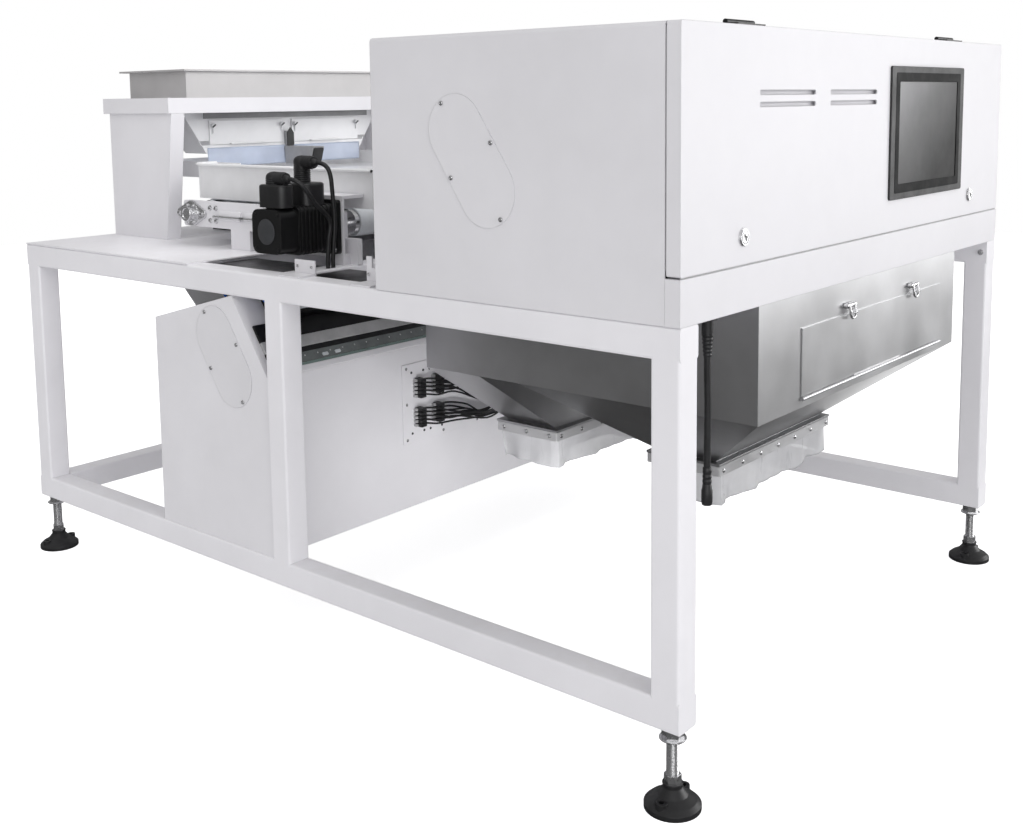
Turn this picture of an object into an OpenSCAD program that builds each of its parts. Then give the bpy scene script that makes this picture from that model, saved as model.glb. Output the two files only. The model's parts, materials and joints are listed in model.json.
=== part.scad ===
// Belt-type optical colour sorter for food: a welded frame on levelling feet carries a hopper with a
// vibratory feeder, a belt conveyor, two facing optics housings and a stainless discharge chute.
// X runs across the belt, -Y is the operator's door, +Z is up, and the floor is at Z 0.

/* [Frame] */
// Length of the frame along the belt
frame_l = 2160; // [2100:10:2300]
// Width of the frame across the belt
frame_w = 1580; // [1540:10:1700]
// Side of the square tube
tube = 60; // [54:1:64]
// Outer corner radius of the square tube
tube_r = 6; // [3:0.5:9]
// Height of the frame's top face over the floor
frame_top = 886; // [880:1:920]
// Height of the bottom rails' underside over the floor
frame_foot = 154; // [145:1:165]
// Side of the square tube that carries the chute's back wall
chute_tube = 40; // [30:1:44]
// Thickness of the deck plate on the top rails
deck_t = 4; // [3:0.5:5]
// Length of the deck plate, from the back end of the frame
deck_l = 760; // [740:5:780]
// Distance from the deck's front edge to the rail under it
deck_rail_inset = 10; // [0:1:20]

/* [Feet] */
// Diameter of the foot pad
pad_d = 105; // [95:1:115]
// Height of the foot pad
pad_h = 46; // [40:1:50]
// Diameter of the bolt holes in the pad
pad_hole_d = 11; // [9:0.5:13]
// Distance between the two bolt holes of a pad
pad_hole_pitch = 74; // [70:1:78]
// Diameter of the threaded stud
stud_d = 22; // [18:1:24]
// Width across the flats of the stud's hexagon
stud_hex = 28; // [26:1:32]
// Height of the stud's hexagon
stud_hex_h = 18; // [12:1:22]
// Width across the flats of the lock nut
lock_nut_af = 36; // [32:1:40]
// Height of the lock nut
lock_nut_h = 20; // [14:1:24]

/* [Sheet metal] */
// Thickness of the painted sheet
sheet_t = 3; // [2:0.5:4]
// Thickness of the stainless sheet
steel_t = 2.5; // [1.5:0.5:3.5]
// Bend radius of the painted sheet, measured outside
bend_r = 9; // [6:1:14]
// Gap between a moving piece and its neighbour
run_gap = 0.3; // [0.2:0.05:0.5]
// Radial clearance of a turning pin or shaft
pin_gap = 0.05; // [0.03:0.01:0.09]
// Gap between two pieces that are seated on each other
seat_gap = 0.04; // [0.02:0.01:0.06]

/* [Cabinet] */
// Height of the cabinet over the frame
cab_h = 516; // [500:2:560]
// Depth of the cabinet behind its door
cab_depth = 708; // [690:2:730]
// Height of the fixed strip under the door
lip_h = 83; // [70:1:95]
// Thickness of the door
door_t = 28; // [22:1:34]
// Gap around the door
door_gap = 3; // [2:0.5:4]
// Tilt of the optics from the vertical
optic_tilt = 34; // [31:0.5:36]
// Drop from the cabinet's top to the bend of its sloped back wall
bend_drop = 202; // [190:1:215]
// Width of the optical windows
window_w = 960; // [900:10:1000]
// Height of the upper optical window
window_h = 110; // [90:1:120]

/* [Door fittings] */
// Width of the touch screen's bezel
bezel_w = 438; // [400:2:470]
// Height of the touch screen's bezel
bezel_h = 296; // [270:2:310]
// X of the touch screen's centre
bezel_x = 287; // [270:1:310]
// Height of the touch screen's centre over the door's lower edge
bezel_z = 218; // [205:1:230]
// Thickness of the bezel in front of the door
bezel_t = 5; // [3:0.5:6]
// Border of the bezel at the sides of the glass
bezel_side = 40; // [30:1:50]
// Border of the bezel over and under the glass
bezel_edge = 31; // [24:1:40]
// Depth of the panel computer behind the door
pc_d = 62; // [50:1:80]
// Length of a vent slot
vent_l = 227; // [200:1:240]
// Height of a vent slot
vent_h = 9; // [6:0.5:12]
// Distance of the lower vent row from the door's lower edge
vent_z = 288; // [280:1:296]
// Distance between the two vent rows
vent_pitch = 22; // [16:1:26]
// X of the two vent columns' centres
vent_x = [-407, -115];
// X of the two locks, either side of the middle
lock_x = 577; // [560:1:620]
// Height of the locks over the door's lower edge
lock_z = 50; // [44:1:60]
// Diameter of the lock's head
lock_d = 30; // [26:1:36]
// Length of the lock's cam
cam_l = 32; // [24:1:36]
// X of the two hinges' centres
hinge_x = [-547, 457];
// Width of a hinge
hinge_w = 100; // [80:2:120]
// Radius of the hinge barrel
hinge_r = 5; // [4:0.5:6]

/* [Oblong covers] */
// Radius of the covers' ends
cover_r = 70; // [60:1:75]
// Straight length of the upper cover
cover_upper_l = 140; // [120:1:150]
// Straight length of the lower cover
cover_lower_l = 120; // [110:1:130]
// Thickness of the covers
cover_t = 1.5; // [1:0.5:2.5]

/* [Feed gantry and hopper] */
// Distance between the gantry's outer faces
gantry_w = 1030; // [1010:2:1060]
// Depth of the gantry's sides at their foot
gantry_foot_d = 264; // [255:1:270]
// Lean of the gantry's front edge over its height
gantry_lean = 44; // [36:1:48]
// Width of the gantry's folded edges
gantry_flange = 45; // [38:1:50]
// Height of the gantry's sides over the deck
gantry_h = 358; // [350:1:372]
// Height of the gantry's top frame
gantry_top_h = 44; // [38:1:50]
// Distance of the gantry's back from the frame's back end
gantry_back = 15; // [10:1:20]
// Overhang of the gantry's top frame past its sides
gantry_over = 8; // [4:1:12]
// Height of the hopper's collar
collar_h = 80; // [70:1:95]
// Width of the hopper's collar
collar_w = 910; // [880:2:930]
// Depth of the hopper's collar
collar_d = 280; // [270:1:286]
// Distance of the collar from the front of the gantry's top frame
collar_inset = 8; // [4:1:14]
// Width of the collar's rim flange
rim_w = 12; // [8:1:18]
// Width of the hopper's outlet
outlet_w = 624; // [610:2:640]
// Depth of the hopper's outlet
outlet_d = 105; // [98:1:112]
// Setback of the hopper's front wall from the collar's front
throat_back = 115; // [110:1:120]
// Height of the hopper's vertical front wall
throat_h = 98; // [90:1:104]
// Width of a feed gate
gate_w = 283; // [270:1:290]
// Height of a feed gate
gate_h = 72; // [64:1:76]
// Distance between the two feed gates
gate_gap = 34; // [30:1:44]
// Travel of the feed gates
gate_travel = 20; // [14:1:22]
// Height of the strip that holds the curtain
curtain_bar_h = 25; // [20:1:30]
// Length of the plastic curtain
curtain_l = 40; // [34:1:44]

/* [Feeder] */
// Width of the vibratory tray
tray_w = 800; // [770:5:830]
// Length of the vibratory tray
tray_l = 400; // [390:2:410]
// Depth of the tray's side walls
tray_h = 46; // [40:1:48]
// Distance from the hopper's outlet to the tray's floor
tray_drop = 63; // [60:1:68]

/* [Conveyor] */
// Distance between the roller axes
belt_run = 560; // [540:2:580]
// Y of the head roller's axis
head_y = 65; // [60:1:72]
// Height of the roller axes over the frame
axis_h = 92; // [88:1:97]
// Diameter of the rollers
roller_d = 64; // [58:1:68]
// Thickness of the belt
belt_t = 3; // [2:0.5:4]
// Width of the belt
belt_w = 960; // [930:5:980]
// Distance between the conveyor's side plates
conveyor_w = 1070; // [1060:2:1080]
// Thickness of the conveyor's side plates
plate_t = 15; // [12:1:18]
// Height of the conveyor's side plates
plate_h = 70; // [64:1:74]
// Height of the side guards over the plates
guard_h = 93; // [80:1:98]
// Distance between the side guards
guard_w = 1000; // [990:1:1010]
// Diameter of the roller shafts
shaft_d = 25; // [20:1:28]
// Diameter of the bearing flanges
bearing_d = 66; // [58:1:68]
// Thickness of the bearing flanges
bearing_t = 20; // [16:1:24]

/* [Motor] */
// Side of the motor's square flange
motor_flange = 130; // [120:1:134]
// Side of the motor's body
motor_body = 112; // [100:1:116]
// Length of the motor with its cap
motor_l = 172; // [160:1:180]
// Height of the motor's bracket
bracket_h = 148; // [146:1:156]

/* [Lower optics] */
// Depth of the lower housing
lower_d = 440; // [430:2:450]
// Height of the lower housing's front wall
lower_front_h = 426; // [415:1:430]
// Length of the sloped face of the lower housing
lower_slope = 224; // [215:1:226]
// Height of the lower housing's back wall
lower_back_h = 528; // [510:1:540]
// Gap between the lower housing's sides and the frame's outer faces
lower_side_gap = 5; // [4:1:8]
// Height of the lower optical window
lower_window_h = 90; // [80:1:96]
// Width of the valve connector plate
valve_plate_w = 710; // [690:2:730]
// Height of the valve connector plate
valve_plate_h = 212; // [205:1:220]

/* [Chute] */
// Width of the chute
chute_w = 1010; // [1000:2:1030]
// Y of the chute's back wall
chute_back = -207; // [-212:1:-204]
// Distance of the chute's front wall from the frame's front end
chute_front_gap = 5; // [4:1:8]
// Height of the chute's upright walls
chute_h = 233; // [225:1:240]
// Height of the funnels under the upright walls
funnel_h = 173; // [165:1:180]
// Width of the outlets
spout_w = 500; // [480:2:520]
// Depth of the outlets
spout_d = 150; // [140:1:156]
// Width of the outlets' flanges
spout_flange = 20; // [16:1:24]
// Height of the plastic skirts
skirt_h = 90; // [80:1:100]
// Depth of the rear funnel at its top
rear_funnel_d = 165; // [160:1:170]
// Depth of the splitter's foot
splitter_d = 114; // [108:1:120]
// Height of the splitter
splitter_h = 67; // [60:1:74]
// Width of the access door
hatch_w = 735; // [700:5:760]
// Height of the access door
hatch_h = 139; // [130:1:145]
// X of the access door's centre
hatch_x = 37; // [30:1:45]
// Height of the access door's lower edge over the chute's bend
hatch_z = 24; // [20:1:30]
// X of the two access door latches
latch_x = [-117, 227];

/* [Hidden] */
$fn = 48;
side_x = frame_w / 2;
end_y = frame_l / 2;
post_x = side_x - tube / 2;
post_y = end_y - tube / 2;
rail_in_x = side_x - tube;
low_top = frame_foot + tube;
top_under = frame_top - tube;
deck_top = frame_top + deck_t;
deck_front = end_y - deck_l;
front_reach = bezel_t;

// Cabinet heights and the bend line of its sloped wall
cab_front = -end_y + door_t + door_gap;
cab_back = cab_front + cab_depth;
cab_top = frame_top + cab_h;
bend_z = cab_top - bend_drop;
door_z0 = frame_top + lip_h + door_gap;
floor_top = frame_top + sheet_t;
slope_foot_y = cab_back - (bend_z - frame_top) * tan(optic_tilt);
slope_l = (bend_z - frame_top) / cos(optic_tilt);
upper_mid = -slope_l * 0.49;
bezel_cz = door_z0 + bezel_z;
lock_cz = door_z0 + lock_z;
hinge_y = cab_front - door_gap / 2;
hinge_z = cab_top + hinge_r + 1;
hinge_leaf = 3;
upper_cover = [cab_back - 271, cab_top - 242];

// Gantry and hopper heights
gantry_y1 = end_y - gantry_back;
gantry_y0 = gantry_y1 - gantry_foot_d;
gantry_front = gantry_y0 - gantry_lean;
ring_z = deck_top + gantry_h;
collar_z = ring_z + gantry_top_h;
collar_y0 = gantry_front + collar_inset;
collar_y1 = collar_y0 + collar_d;
throat_y = collar_y0 + throat_back;
funnel_top = collar_z + 48;
outlet_z = ring_z - throat_h;
bar_z = outlet_z - curtain_bar_h;
gate_z = outlet_z + 2;
knob_in = 10;
knob_r = 3;
knob_head_r = 7;
knob_z = gate_z + gate_h - 16;

// Tray and conveyor heights
tray_z = outlet_z - tray_drop - curtain_bar_h;
axis_z = frame_top + axis_h;
tail_y = head_y + belt_run;
plate_x = conveyor_w / 2;
plate_out = plate_x + plate_t;
plate_top = axis_z + plate_h / 2;
belt_top = axis_z + roller_d / 2 + run_gap + belt_t;
tray_y0 = tail_y - 20;
shoe_x = tray_w * 0.225;
shoe_w = 60;
shoe_h = 16;

// Lower housing outline in Y and Z, counter-clockwise from its front foot
lower_y0 = tube / 2;
lower_y1 = lower_y0 + lower_d;
lower_z1 = low_top + lower_front_h;
lower_apex = [lower_y0 + lower_slope * sin(optic_tilt), lower_z1 + lower_slope * cos(optic_tilt)];
lower_x = side_x - lower_side_gap;
lower_mid = lower_slope * 0.36;
lower_cover = [lower_y0 + 163, lower_z1 + 35];
lower_outline = [
    [lower_y0, low_top],
    [lower_y1, low_top],
    [lower_y1, low_top + lower_back_h],
    lower_apex,
    [lower_y0, lower_z1]
];
valve_z = low_top + 277;
valve_gather = [40, valve_z - 50];

// Chute heights and outlets
chute_front = -end_y + chute_front_gap;
chute_bend = frame_top - chute_h;
spout_z = chute_bend - funnel_h;
rear_y1 = chute_back - 15;
rear_y0 = rear_y1 - rear_funnel_d + 15;
ridge_y = rear_y0 - splitter_d;
rear_spout_y = chute_back - 108;
front_spout_y = chute_front + 312;
hatch_bottom = chute_bend + hatch_z;
hatch_axis_y = chute_front - 4.5;
hatch_axis_z = hatch_bottom - 5;
hatch_pin_r = 2;
hatch_barrel_r = 4;
latch_z = hatch_bottom + hatch_h + 18;
latch_y = chute_front - 6;
latch_r = 5;
latch_ear = [9, 13];

// Hanging lead: the route of its centre line, its diameter and its end pieces
lead_d = 13;
lead_l = 248;
gland_h = 38;
lead_top = [-side_x + 158, -end_y + 40, frame_top - gland_h];
lead_route = [
    lead_top - [0, 0, seat_gap],
    lead_top - [0, 0, 0.08 * lead_l],
    lead_top - [0, 0, 0.28 * lead_l],
    lead_top + [1, -1, -0.56 * lead_l],
    lead_top + [0, -1, -0.84 * lead_l],
    lead_top + [0, -1, -0.92 * lead_l],
    lead_top + [0, -1, -lead_l]
];
connector_l = 72;

// Motor, its plugs, the cables and the air tube, fixed at both ends
cable_d = 9;
motor_x = -plate_out - bearing_t - 4;
motor_end = motor_x - motor_l;
motor_plug = 30;
motor_plug_x = [motor_end + 28, motor_end + 112];
motor_plug_z = axis_z + motor_body / 2 + 34;
motor_plug_y = head_y - 44;
air_d = 8;

// Plugs and cables of the valve connector plate
plug = [22, 26, 10];
plug_pitch = 13;
plug_x = [-300, -232];
plug_z = [40, -38];
gather = [36, 40, 64];
valve_cable_d = 7;

white = [0.93, 0.92, 0.94];
stainless = [0.68, 0.69, 0.7];
black = [0.06, 0.06, 0.07];

// Shared shapes

// Rounded rectangle about the origin
module rounded_rect(w, h, r) {
    square([w - 2 * r, h], center = true);
    square([w, h - 2 * r], center = true);
    for (sx = [-1, 1], sy = [-1, 1])
        translate([sx * (w / 2 - r), sy * (h / 2 - r)])
            circle(r);
}

// Round-ended slot with its straight length upright
module stadium(l, r) {
    square([2 * r, l], center = true);
    for (s = [-1, 1])
        translate([0, s * l / 2])
            circle(r);
}

// A profile drawn in Y and Z, carried along X about the middle
module along_x(l) {
    rotate([90, 0, 90])
        linear_extrude(height = l, center = true)
            children();
}

// A profile drawn in X and Z, carried along Y about the middle
module along_y(l) {
    rotate([90, 0, 0])
        linear_extrude(height = l, center = true)
            children();
}

// A block between two corners
module block(a, b) {
    translate([min(a.x, b.x), min(a.y, b.y), min(a.z, b.z)])
        cube([abs(b.x - a.x), abs(b.y - a.y), abs(b.z - a.z)]);
}

// A rod along X between two places
module rod_x(x0, x1, y, z, r) {
    translate([min(x0, x1), y, z])
        rotate([0, 90, 0])
            cylinder(h = abs(x1 - x0), r = r);
}

// A rod along Y between two places
module rod_y(x, y0, y1, z, r) {
    translate([x, max(y0, y1), z])
        rotate([90, 0, 0])
            cylinder(h = abs(y1 - y0), r = r);
}

function unit(v) = v / norm(v);
function left_of(v) = [-v.y, v.x];

// A point of an open path, moved sideways by t to the path's left
function shifted(p, i, t) =
    let(
        n0 = left_of(unit(p[max(i, 1)] - p[max(i, 1) - 1])),
        n1 = left_of(unit(p[min(i, len(p) - 2) + 1] - p[min(i, len(p) - 2)]))
    )
    p[i] + t * (n0 + n1) / (1 + n0 * n1);

// The outline of a folded sheet of thickness t on the left of an open path
function sheet_outline(p, t) =
    concat(p, [for (i = [len(p) - 1:-1:0]) shifted(p, i, t)]);

// A closed counter-clockwise outline, moved inwards by t
function inset(p, t) =
    [for (i = [0:len(p) - 1])
        let(
            n = len(p),
            n0 = left_of(unit(p[i] - p[(i + n - 1) % n])),
            n1 = left_of(unit(p[(i + 1) % n] - p[i]))
        )
        p[i] + t * (n0 + n1) / (1 + n0 * n1)];

// Place at height z of the line from p to q
function line_at(p, q, z) = p[0] + (q[0] - p[0]) * (z - p[1]) / (q[1] - p[1]);
function slant(p, q) = norm(q - p) / abs(q[1] - p[1]);

// Outline of a funnel's section: low and high hold its edges, t moves both walls in, over opens its ends
function funnel_section(low, high, z0, z1, t, over) =
    let(
        a0 = [low[0], z0], a1 = [high[0], z1],
        b0 = [low[1], z0], b1 = [high[1], z1]
    )
    [
        [line_at(a0, a1, z0 - over) + t * slant(a0, a1), z0 - over],
        [line_at(b0, b1, z0 - over) - t * slant(b0, b1), z0 - over],
        [line_at(b0, b1, z1 + over) - t * slant(b0, b1), z1 + over],
        [line_at(a0, a1, z1 + over) + t * slant(a0, a1), z1 + over]
    ];

// A solid whose X and Y edges change evenly from bottom to top
module tapered_block(x_low, x_high, y_low, y_high, z0, z1, t, over) {
    intersection() {
        along_x(4 * max(x_high))
            polygon(funnel_section(y_low, y_high, z0, z1, t, over));
        along_y(4 * max([for (y = y_high) abs(y)]))
            polygon(funnel_section(x_low, x_high, z0, z1, t, over));
    }
}

// A sheet funnel, open at both ends
module sheet_funnel(x_low, x_high, y_low, y_high, z0, z1, t) {
    difference() {
        tapered_block(x_low, x_high, y_low, y_high, z0, z1, 0, 0);
        tapered_block(x_low, x_high, y_low, y_high, z0, z1, t, t);
    }
}

// A rectangular ring in the XY plane from its outer and inner corners
module ring(a, b, c, d, z0, z1) {
    difference() {
        block([a.x, a.y, z0], [b.x, b.y, z1]);
        block([c.x, c.y, z0 - 1], [d.x, d.y, z1 + 1]);
    }
}

// A smooth curve through a list of points, with n steps on each stretch
function spline_at(p, i, t) =
    let(
        a = p[max(i - 1, 0)], b = p[i], c = p[i + 1], d = p[min(i + 2, len(p) - 1)]
    )
    0.5 * (2 * b + (c - a) * t + (2 * a - 5 * b + 4 * c - d) * t * t
        + (3 * b - a - 3 * c + d) * t * t * t);
function spline(p, n) =
    concat([for (i = [0:len(p) - 2], k = [0:n - 1]) spline_at(p, i, k / n)], [p[len(p) - 1]]);

// A round tube swept along a curve, with ten sides
module swept(points, d, n) {
    path = spline(points, n);
    last = len(path) - 1;
    sides = 10;
    function heading(i) = unit(path[min(i + 1, last)] - path[max(i - 1, 0)]);
    function across(h) = unit(cross(h, abs(h.z) > 0.8 ? [1, 0, 0] : [0, 0, 1]));
    rings = [for (i = [0:last])
        let(h = heading(i), u = across([h.x, h.y, h.z]), v = cross(h, u))
        for (k = [0:sides - 1])
            path[i] + d / 2 * (cos(360 * k / sides) * u + sin(360 * k / sides) * v)];
    caps = [
        [for (k = [0:sides - 1]) k],
        [for (k = [sides - 1:-1:0]) last * sides + k]
    ];
    walls = [for (i = [0:last - 1], k = [0:sides - 1])
        let(a = i * sides + k, b = i * sides + (k + 1) % sides)
        [a, a + sides, b + sides, b]];
    polyhedron(points = rings, faces = concat(caps, walls));
}

// Welded frame

module tube_section() {
    rounded_rect(tube, tube, tube_r);
}

module side_frame(side) {
    color(white)
        translate([side * post_x, 0, 0]) {
            for (z = [frame_foot + tube / 2, frame_top - tube / 2])
                translate([0, 0, z])
                    along_y(frame_l)
                        tube_section();
            for (y = [-post_y, 0, post_y])
                translate([0, y, frame_foot + tube / 2])
                    linear_extrude(height = frame_top - frame_foot - tube)
                        tube_section();
        }
}

module left_side_frame() {
    side_frame(-1);
}

module right_side_frame() {
    side_frame(1);
}

module cross_rails() {
    color(white) {
        for (p = [
            [post_y, frame_foot + tube / 2],
            [post_y, frame_top - tube / 2],
            [0, frame_top - tube / 2],
            [deck_front + deck_rail_inset + tube / 2, frame_top - tube / 2]
        ])
            translate([0, p[0], p[1]])
                along_x(2 * rail_in_x)
                    tube_section();
        translate([0, chute_back + chute_tube / 2, top_under + chute_tube / 2])
            along_x(2 * rail_in_x)
                rounded_rect(chute_tube, chute_tube, tube_r / 2);
    }
}

module deck_plate() {
    color(white)
        block([-side_x, deck_front, frame_top], [side_x, end_y, deck_top]);
}

module at_feet() {
    for (sx = [-1, 1], sy = [-1, 1])
        translate([sx * post_x, sy * post_y, 0])
            children();
}

module foot_pads() {
    neck_r = stud_hex / 2 + 4;
    boss_r = pad_hole_d / 2 + 6;
    boss_h = pad_h * 0.54;
    rim_r = pad_d / 2;
    dome = [
        [0, 0], [rim_r, 0], [rim_r, pad_h * 0.2], [rim_r - 8, pad_h * 0.36],
        [rim_r - 24, pad_h * 0.56], [neck_r, pad_h * 0.86], [neck_r, pad_h], [0, pad_h]
    ];
    color(black)
        at_feet()
            difference() {
                union() {
                    rotate_extrude()
                        polygon(dome);
                    for (s = [-1, 1])
                        translate([s * pad_hole_pitch / 2, 0, 0])
                            cylinder(h = boss_h, r = boss_r);
                }
                for (s = [-1, 1])
                    translate([s * pad_hole_pitch / 2, 0, -1])
                        cylinder(h = pad_h, d = pad_hole_d);
            }
}

module foot_studs() {
    color([0.75, 0.75, 0.76])
        at_feet() {
            translate([0, 0, pad_h])
                cylinder(h = stud_hex_h, d = stud_hex / cos(30), $fn = 6);
            translate([0, 0, pad_h])
                cylinder(h = frame_foot - pad_h, d = stud_d);
            translate([0, 0, frame_foot - lock_nut_h])
                cylinder(h = lock_nut_h, d = lock_nut_af / cos(30), $fn = 6);
        }
}

// Cabinet

module cabinet_shell() {
    wall_h = cab_top - bend_r - frame_top;
    color(white)
        translate([0, (cab_front + cab_back) / 2, 0])
            along_y(cab_depth) {
                for (s = [-1, 1]) {
                    translate([s * (side_x - sheet_t / 2), frame_top + wall_h / 2])
                        square([sheet_t, wall_h], center = true);
                    intersection() {
                        translate([s * (side_x - bend_r), cab_top - bend_r])
                            difference() {
                                circle(bend_r);
                                circle(bend_r - sheet_t);
                            }
                        translate([s * (side_x - bend_r / 2), cab_top - bend_r / 2])
                            square(bend_r, center = true);
                    }
                }
                translate([0, cab_top - sheet_t / 2])
                    square([frame_w - 2 * bend_r, sheet_t], center = true);
            }
}

module cabinet_floor() {
    color(white)
        block(
            [-side_x + sheet_t, cab_front, frame_top],
            [side_x - sheet_t, slope_foot_y - sheet_t / cos(optic_tilt), floor_top]
        );
}

// Local frame of the cabinet's sloped wall: Y points at the product and Z runs up the slope
module on_upper_slope() {
    translate([0, cab_back, bend_z])
        rotate([-optic_tilt, 0, 0])
            children();
}

// Local frame of the lower housing's sloped face: -Y points at the product and Z runs up the slope
module on_lower_slope() {
    translate([0, lower_y0, lower_z1])
        rotate([-optic_tilt, 0, 0])
            children();
}

// The cabinet's back wall, bent to the optics' tilt, with corners cut to clear the roof's bends
module optics_wall() {
    path = [[cab_back, cab_top - sheet_t], [cab_back, bend_z], [slope_foot_y, frame_top]];
    notch = bend_r + run_gap;
    trim = 10 * sheet_t;
    color(white)
        difference() {
            along_x(frame_w - 2 * sheet_t)
                difference() {
                    polygon(sheet_outline(path, -sheet_t));
                    translate([slope_foot_y, frame_top - trim / 2])
                        square([2 * trim, trim], center = true);
                }
            for (s = [-1, 1])
                block(
                    [s * (side_x - notch), cab_back - trim, cab_top - notch],
                    [s * side_x, cab_back + trim, cab_top]
                );
            on_upper_slope()
                translate([0, 0, upper_mid])
                    cube([window_w, 4 * sheet_t, window_h], center = true);
        }
}

module optics_windows() {
    glass_t = 5;
    lap = 12;
    color([0.1, 0.12, 0.13, 0.6]) {
        on_upper_slope()
            translate([0, -sheet_t - seat_gap - glass_t / 2, upper_mid])
                cube([window_w + 2 * lap, glass_t, window_h + 2 * lap], center = true);
        on_lower_slope()
            translate([0, -seat_gap - glass_t / 2, lower_mid])
                cube([window_w + 2 * lap, glass_t, lower_window_h], center = true);
    }
}

module light_bars() {
    bar_h = 46;
    bar_d = 34;
    bar_gap = 14;
    lamp_h = lower_slope * 0.36;
    lamp_x = rail_in_x - 20;
    lamp_gap = 6;
    color(black) {
        on_upper_slope()
            for (s = [-1, 1])
                translate([0, 0, upper_mid + s * (window_h / 2 + bar_h / 2 + bar_gap)])
                    block([-window_w / 2, seat_gap, -bar_h / 2], [window_w / 2, bar_d, bar_h / 2]);
        on_lower_slope()
            translate([0, 0, lower_slope - lamp_h / 2 - lamp_gap])
                block([-lamp_x, -bar_d, -lamp_h / 2], [lamp_x, -seat_gap, lamp_h / 2]);
    }
}

module cameras() {
    beam = [frame_w - 2 * sheet_t - 2 * seat_gap, 40, 80];
    beam_y = -60;
    body = 90;
    body_l = 110;
    lens_r = 30;
    lens_l = 50;
    color([0.25, 0.26, 0.28])
        translate([0, upper_cover.x, upper_cover.y])
            rotate([-optic_tilt, 0, 0]) {
                translate([0, beam_y, 0])
                    cube(beam, center = true);
                for (s = [-1, 1])
                    translate([s * window_w / 4, beam_y + beam.y / 2, 0]) {
                        translate([0, body_l / 2, 0])
                            cube([body, body_l, body], center = true);
                        rod_y(0, body_l, body_l + lens_l, 0, lens_r);
                    }
            }
}

// Upright mounting plate with a foot and a row of modules on its front
module electronics_plate() {
    plate_y = cab_front + cab_depth * 0.27;
    x1 = side_x - 150;
    foot_d = 60;
    upright_h = 300;
    count = 5;
    pitch = 2 * x1 / count;
    unit_w = pitch * 0.65;
    unit_d = 70;
    unit_z = [60, 250];
    color([0.8, 0.81, 0.82]) {
        block([-x1, plate_y, floor_top], [x1, plate_y + sheet_t, floor_top + upright_h]);
        block([-x1, plate_y, floor_top], [x1, plate_y + foot_d, floor_top + sheet_t]);
        for (i = [0:count - 1])
            translate([(i + 0.5) * pitch - x1, plate_y, floor_top])
                block([-unit_w / 2, -unit_d, unit_z[0]], [unit_w / 2, 1, unit_z[1]]);
    }
}

module front_lip() {
    color(white)
        difference() {
            block([-side_x, -end_y, frame_top], [side_x, cab_front, frame_top + lip_h]);
            block(
                [-side_x + sheet_t, -end_y + sheet_t, frame_top + sheet_t],
                [side_x - sheet_t, cab_front + 1, frame_top + lip_h - sheet_t]
            );
        }
}

module oblong_cover(centre, l, x) {
    translate([x, 0, 0])
        along_x(cover_t)
            translate(centre)
                rotate(-optic_tilt)
                    stadium(l, cover_r);
}

module optics_covers() {
    color(white)
        for (s = [-1, 1]) {
            oblong_cover(upper_cover, cover_upper_l, s * (side_x + cover_t / 2));
            oblong_cover(lower_cover, cover_lower_l, s * (lower_x + cover_t / 2));
        }
}

// Air nozzle bar between the cabinet's side walls, with the nozzle strip under it
module ejector() {
    y1 = cab_back - 12;
    bar_d = 45;
    bar_z = frame_top + 34;
    bar_h = 42;
    strip_in = 9;
    strip_h = 16;
    color([0.2, 0.21, 0.23]) {
        block([-side_x + sheet_t, y1 - bar_d, bar_z], [side_x - sheet_t, y1, bar_z + bar_h]);
        block(
            [-window_w / 2, y1 - bar_d + strip_in, bar_z - strip_h],
            [window_w / 2, y1 - strip_in, bar_z + 1]
        );
    }
}

// Door

module door_outline() {
    translate([0, (door_z0 + cab_top) / 2])
        rounded_rect(frame_w, cab_top - door_z0, 5);
}

module door() {
    mid_y = -end_y + door_t / 2;
    color(white)
        difference() {
            translate([0, mid_y, 0])
                along_y(door_t)
                    door_outline();
            block(
                [-side_x + sheet_t, -end_y + sheet_t, door_z0 + sheet_t],
                [side_x - sheet_t, -end_y + door_t + 1, cab_top - sheet_t]
            );
            translate([bezel_x, -end_y, bezel_cz])
                cube([bezel_w - bezel_side, 4 * sheet_t, bezel_h - bezel_side], center = true);
            for (x = vent_x, i = [0, 1])
                translate([x, -end_y, door_z0 + vent_z + i * vent_pitch])
                    along_y(4 * sheet_t)
                        rotate(90)
                            stadium(vent_l - vent_h, vent_h / 2);
            for (s = [-1, 1])
                rod_y(s * lock_x, -end_y - 1, -end_y + sheet_t + 1, lock_cz, lock_d * 0.3 + pin_gap);
        }
}

module screen_bezel() {
    color([0.13, 0.13, 0.14])
        translate([bezel_x, -end_y - bezel_t / 2, bezel_cz])
            difference() {
                along_y(bezel_t)
                    rounded_rect(bezel_w, bezel_h, 6);
                cube([bezel_w - 2 * bezel_side, 2 * bezel_t, bezel_h - 2 * bezel_edge], center = true);
            }
}

module screen_glass() {
    glass_t = bezel_t - 1;
    color([0.05, 0.05, 0.06])
        translate([bezel_x, -end_y - glass_t / 2, bezel_cz])
            cube([bezel_w - 2 * bezel_side, glass_t, bezel_h - 2 * bezel_edge], center = true);
}

module panel_pc() {
    color([0.3, 0.3, 0.32])
        translate([bezel_x, 0, bezel_cz])
            block(
                [-(bezel_w - bezel_side) / 2, -end_y, -(bezel_h - bezel_side) / 2],
                [(bezel_w - bezel_side) / 2, -end_y + pc_d, (bezel_h - bezel_side) / 2]
            );
}

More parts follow.
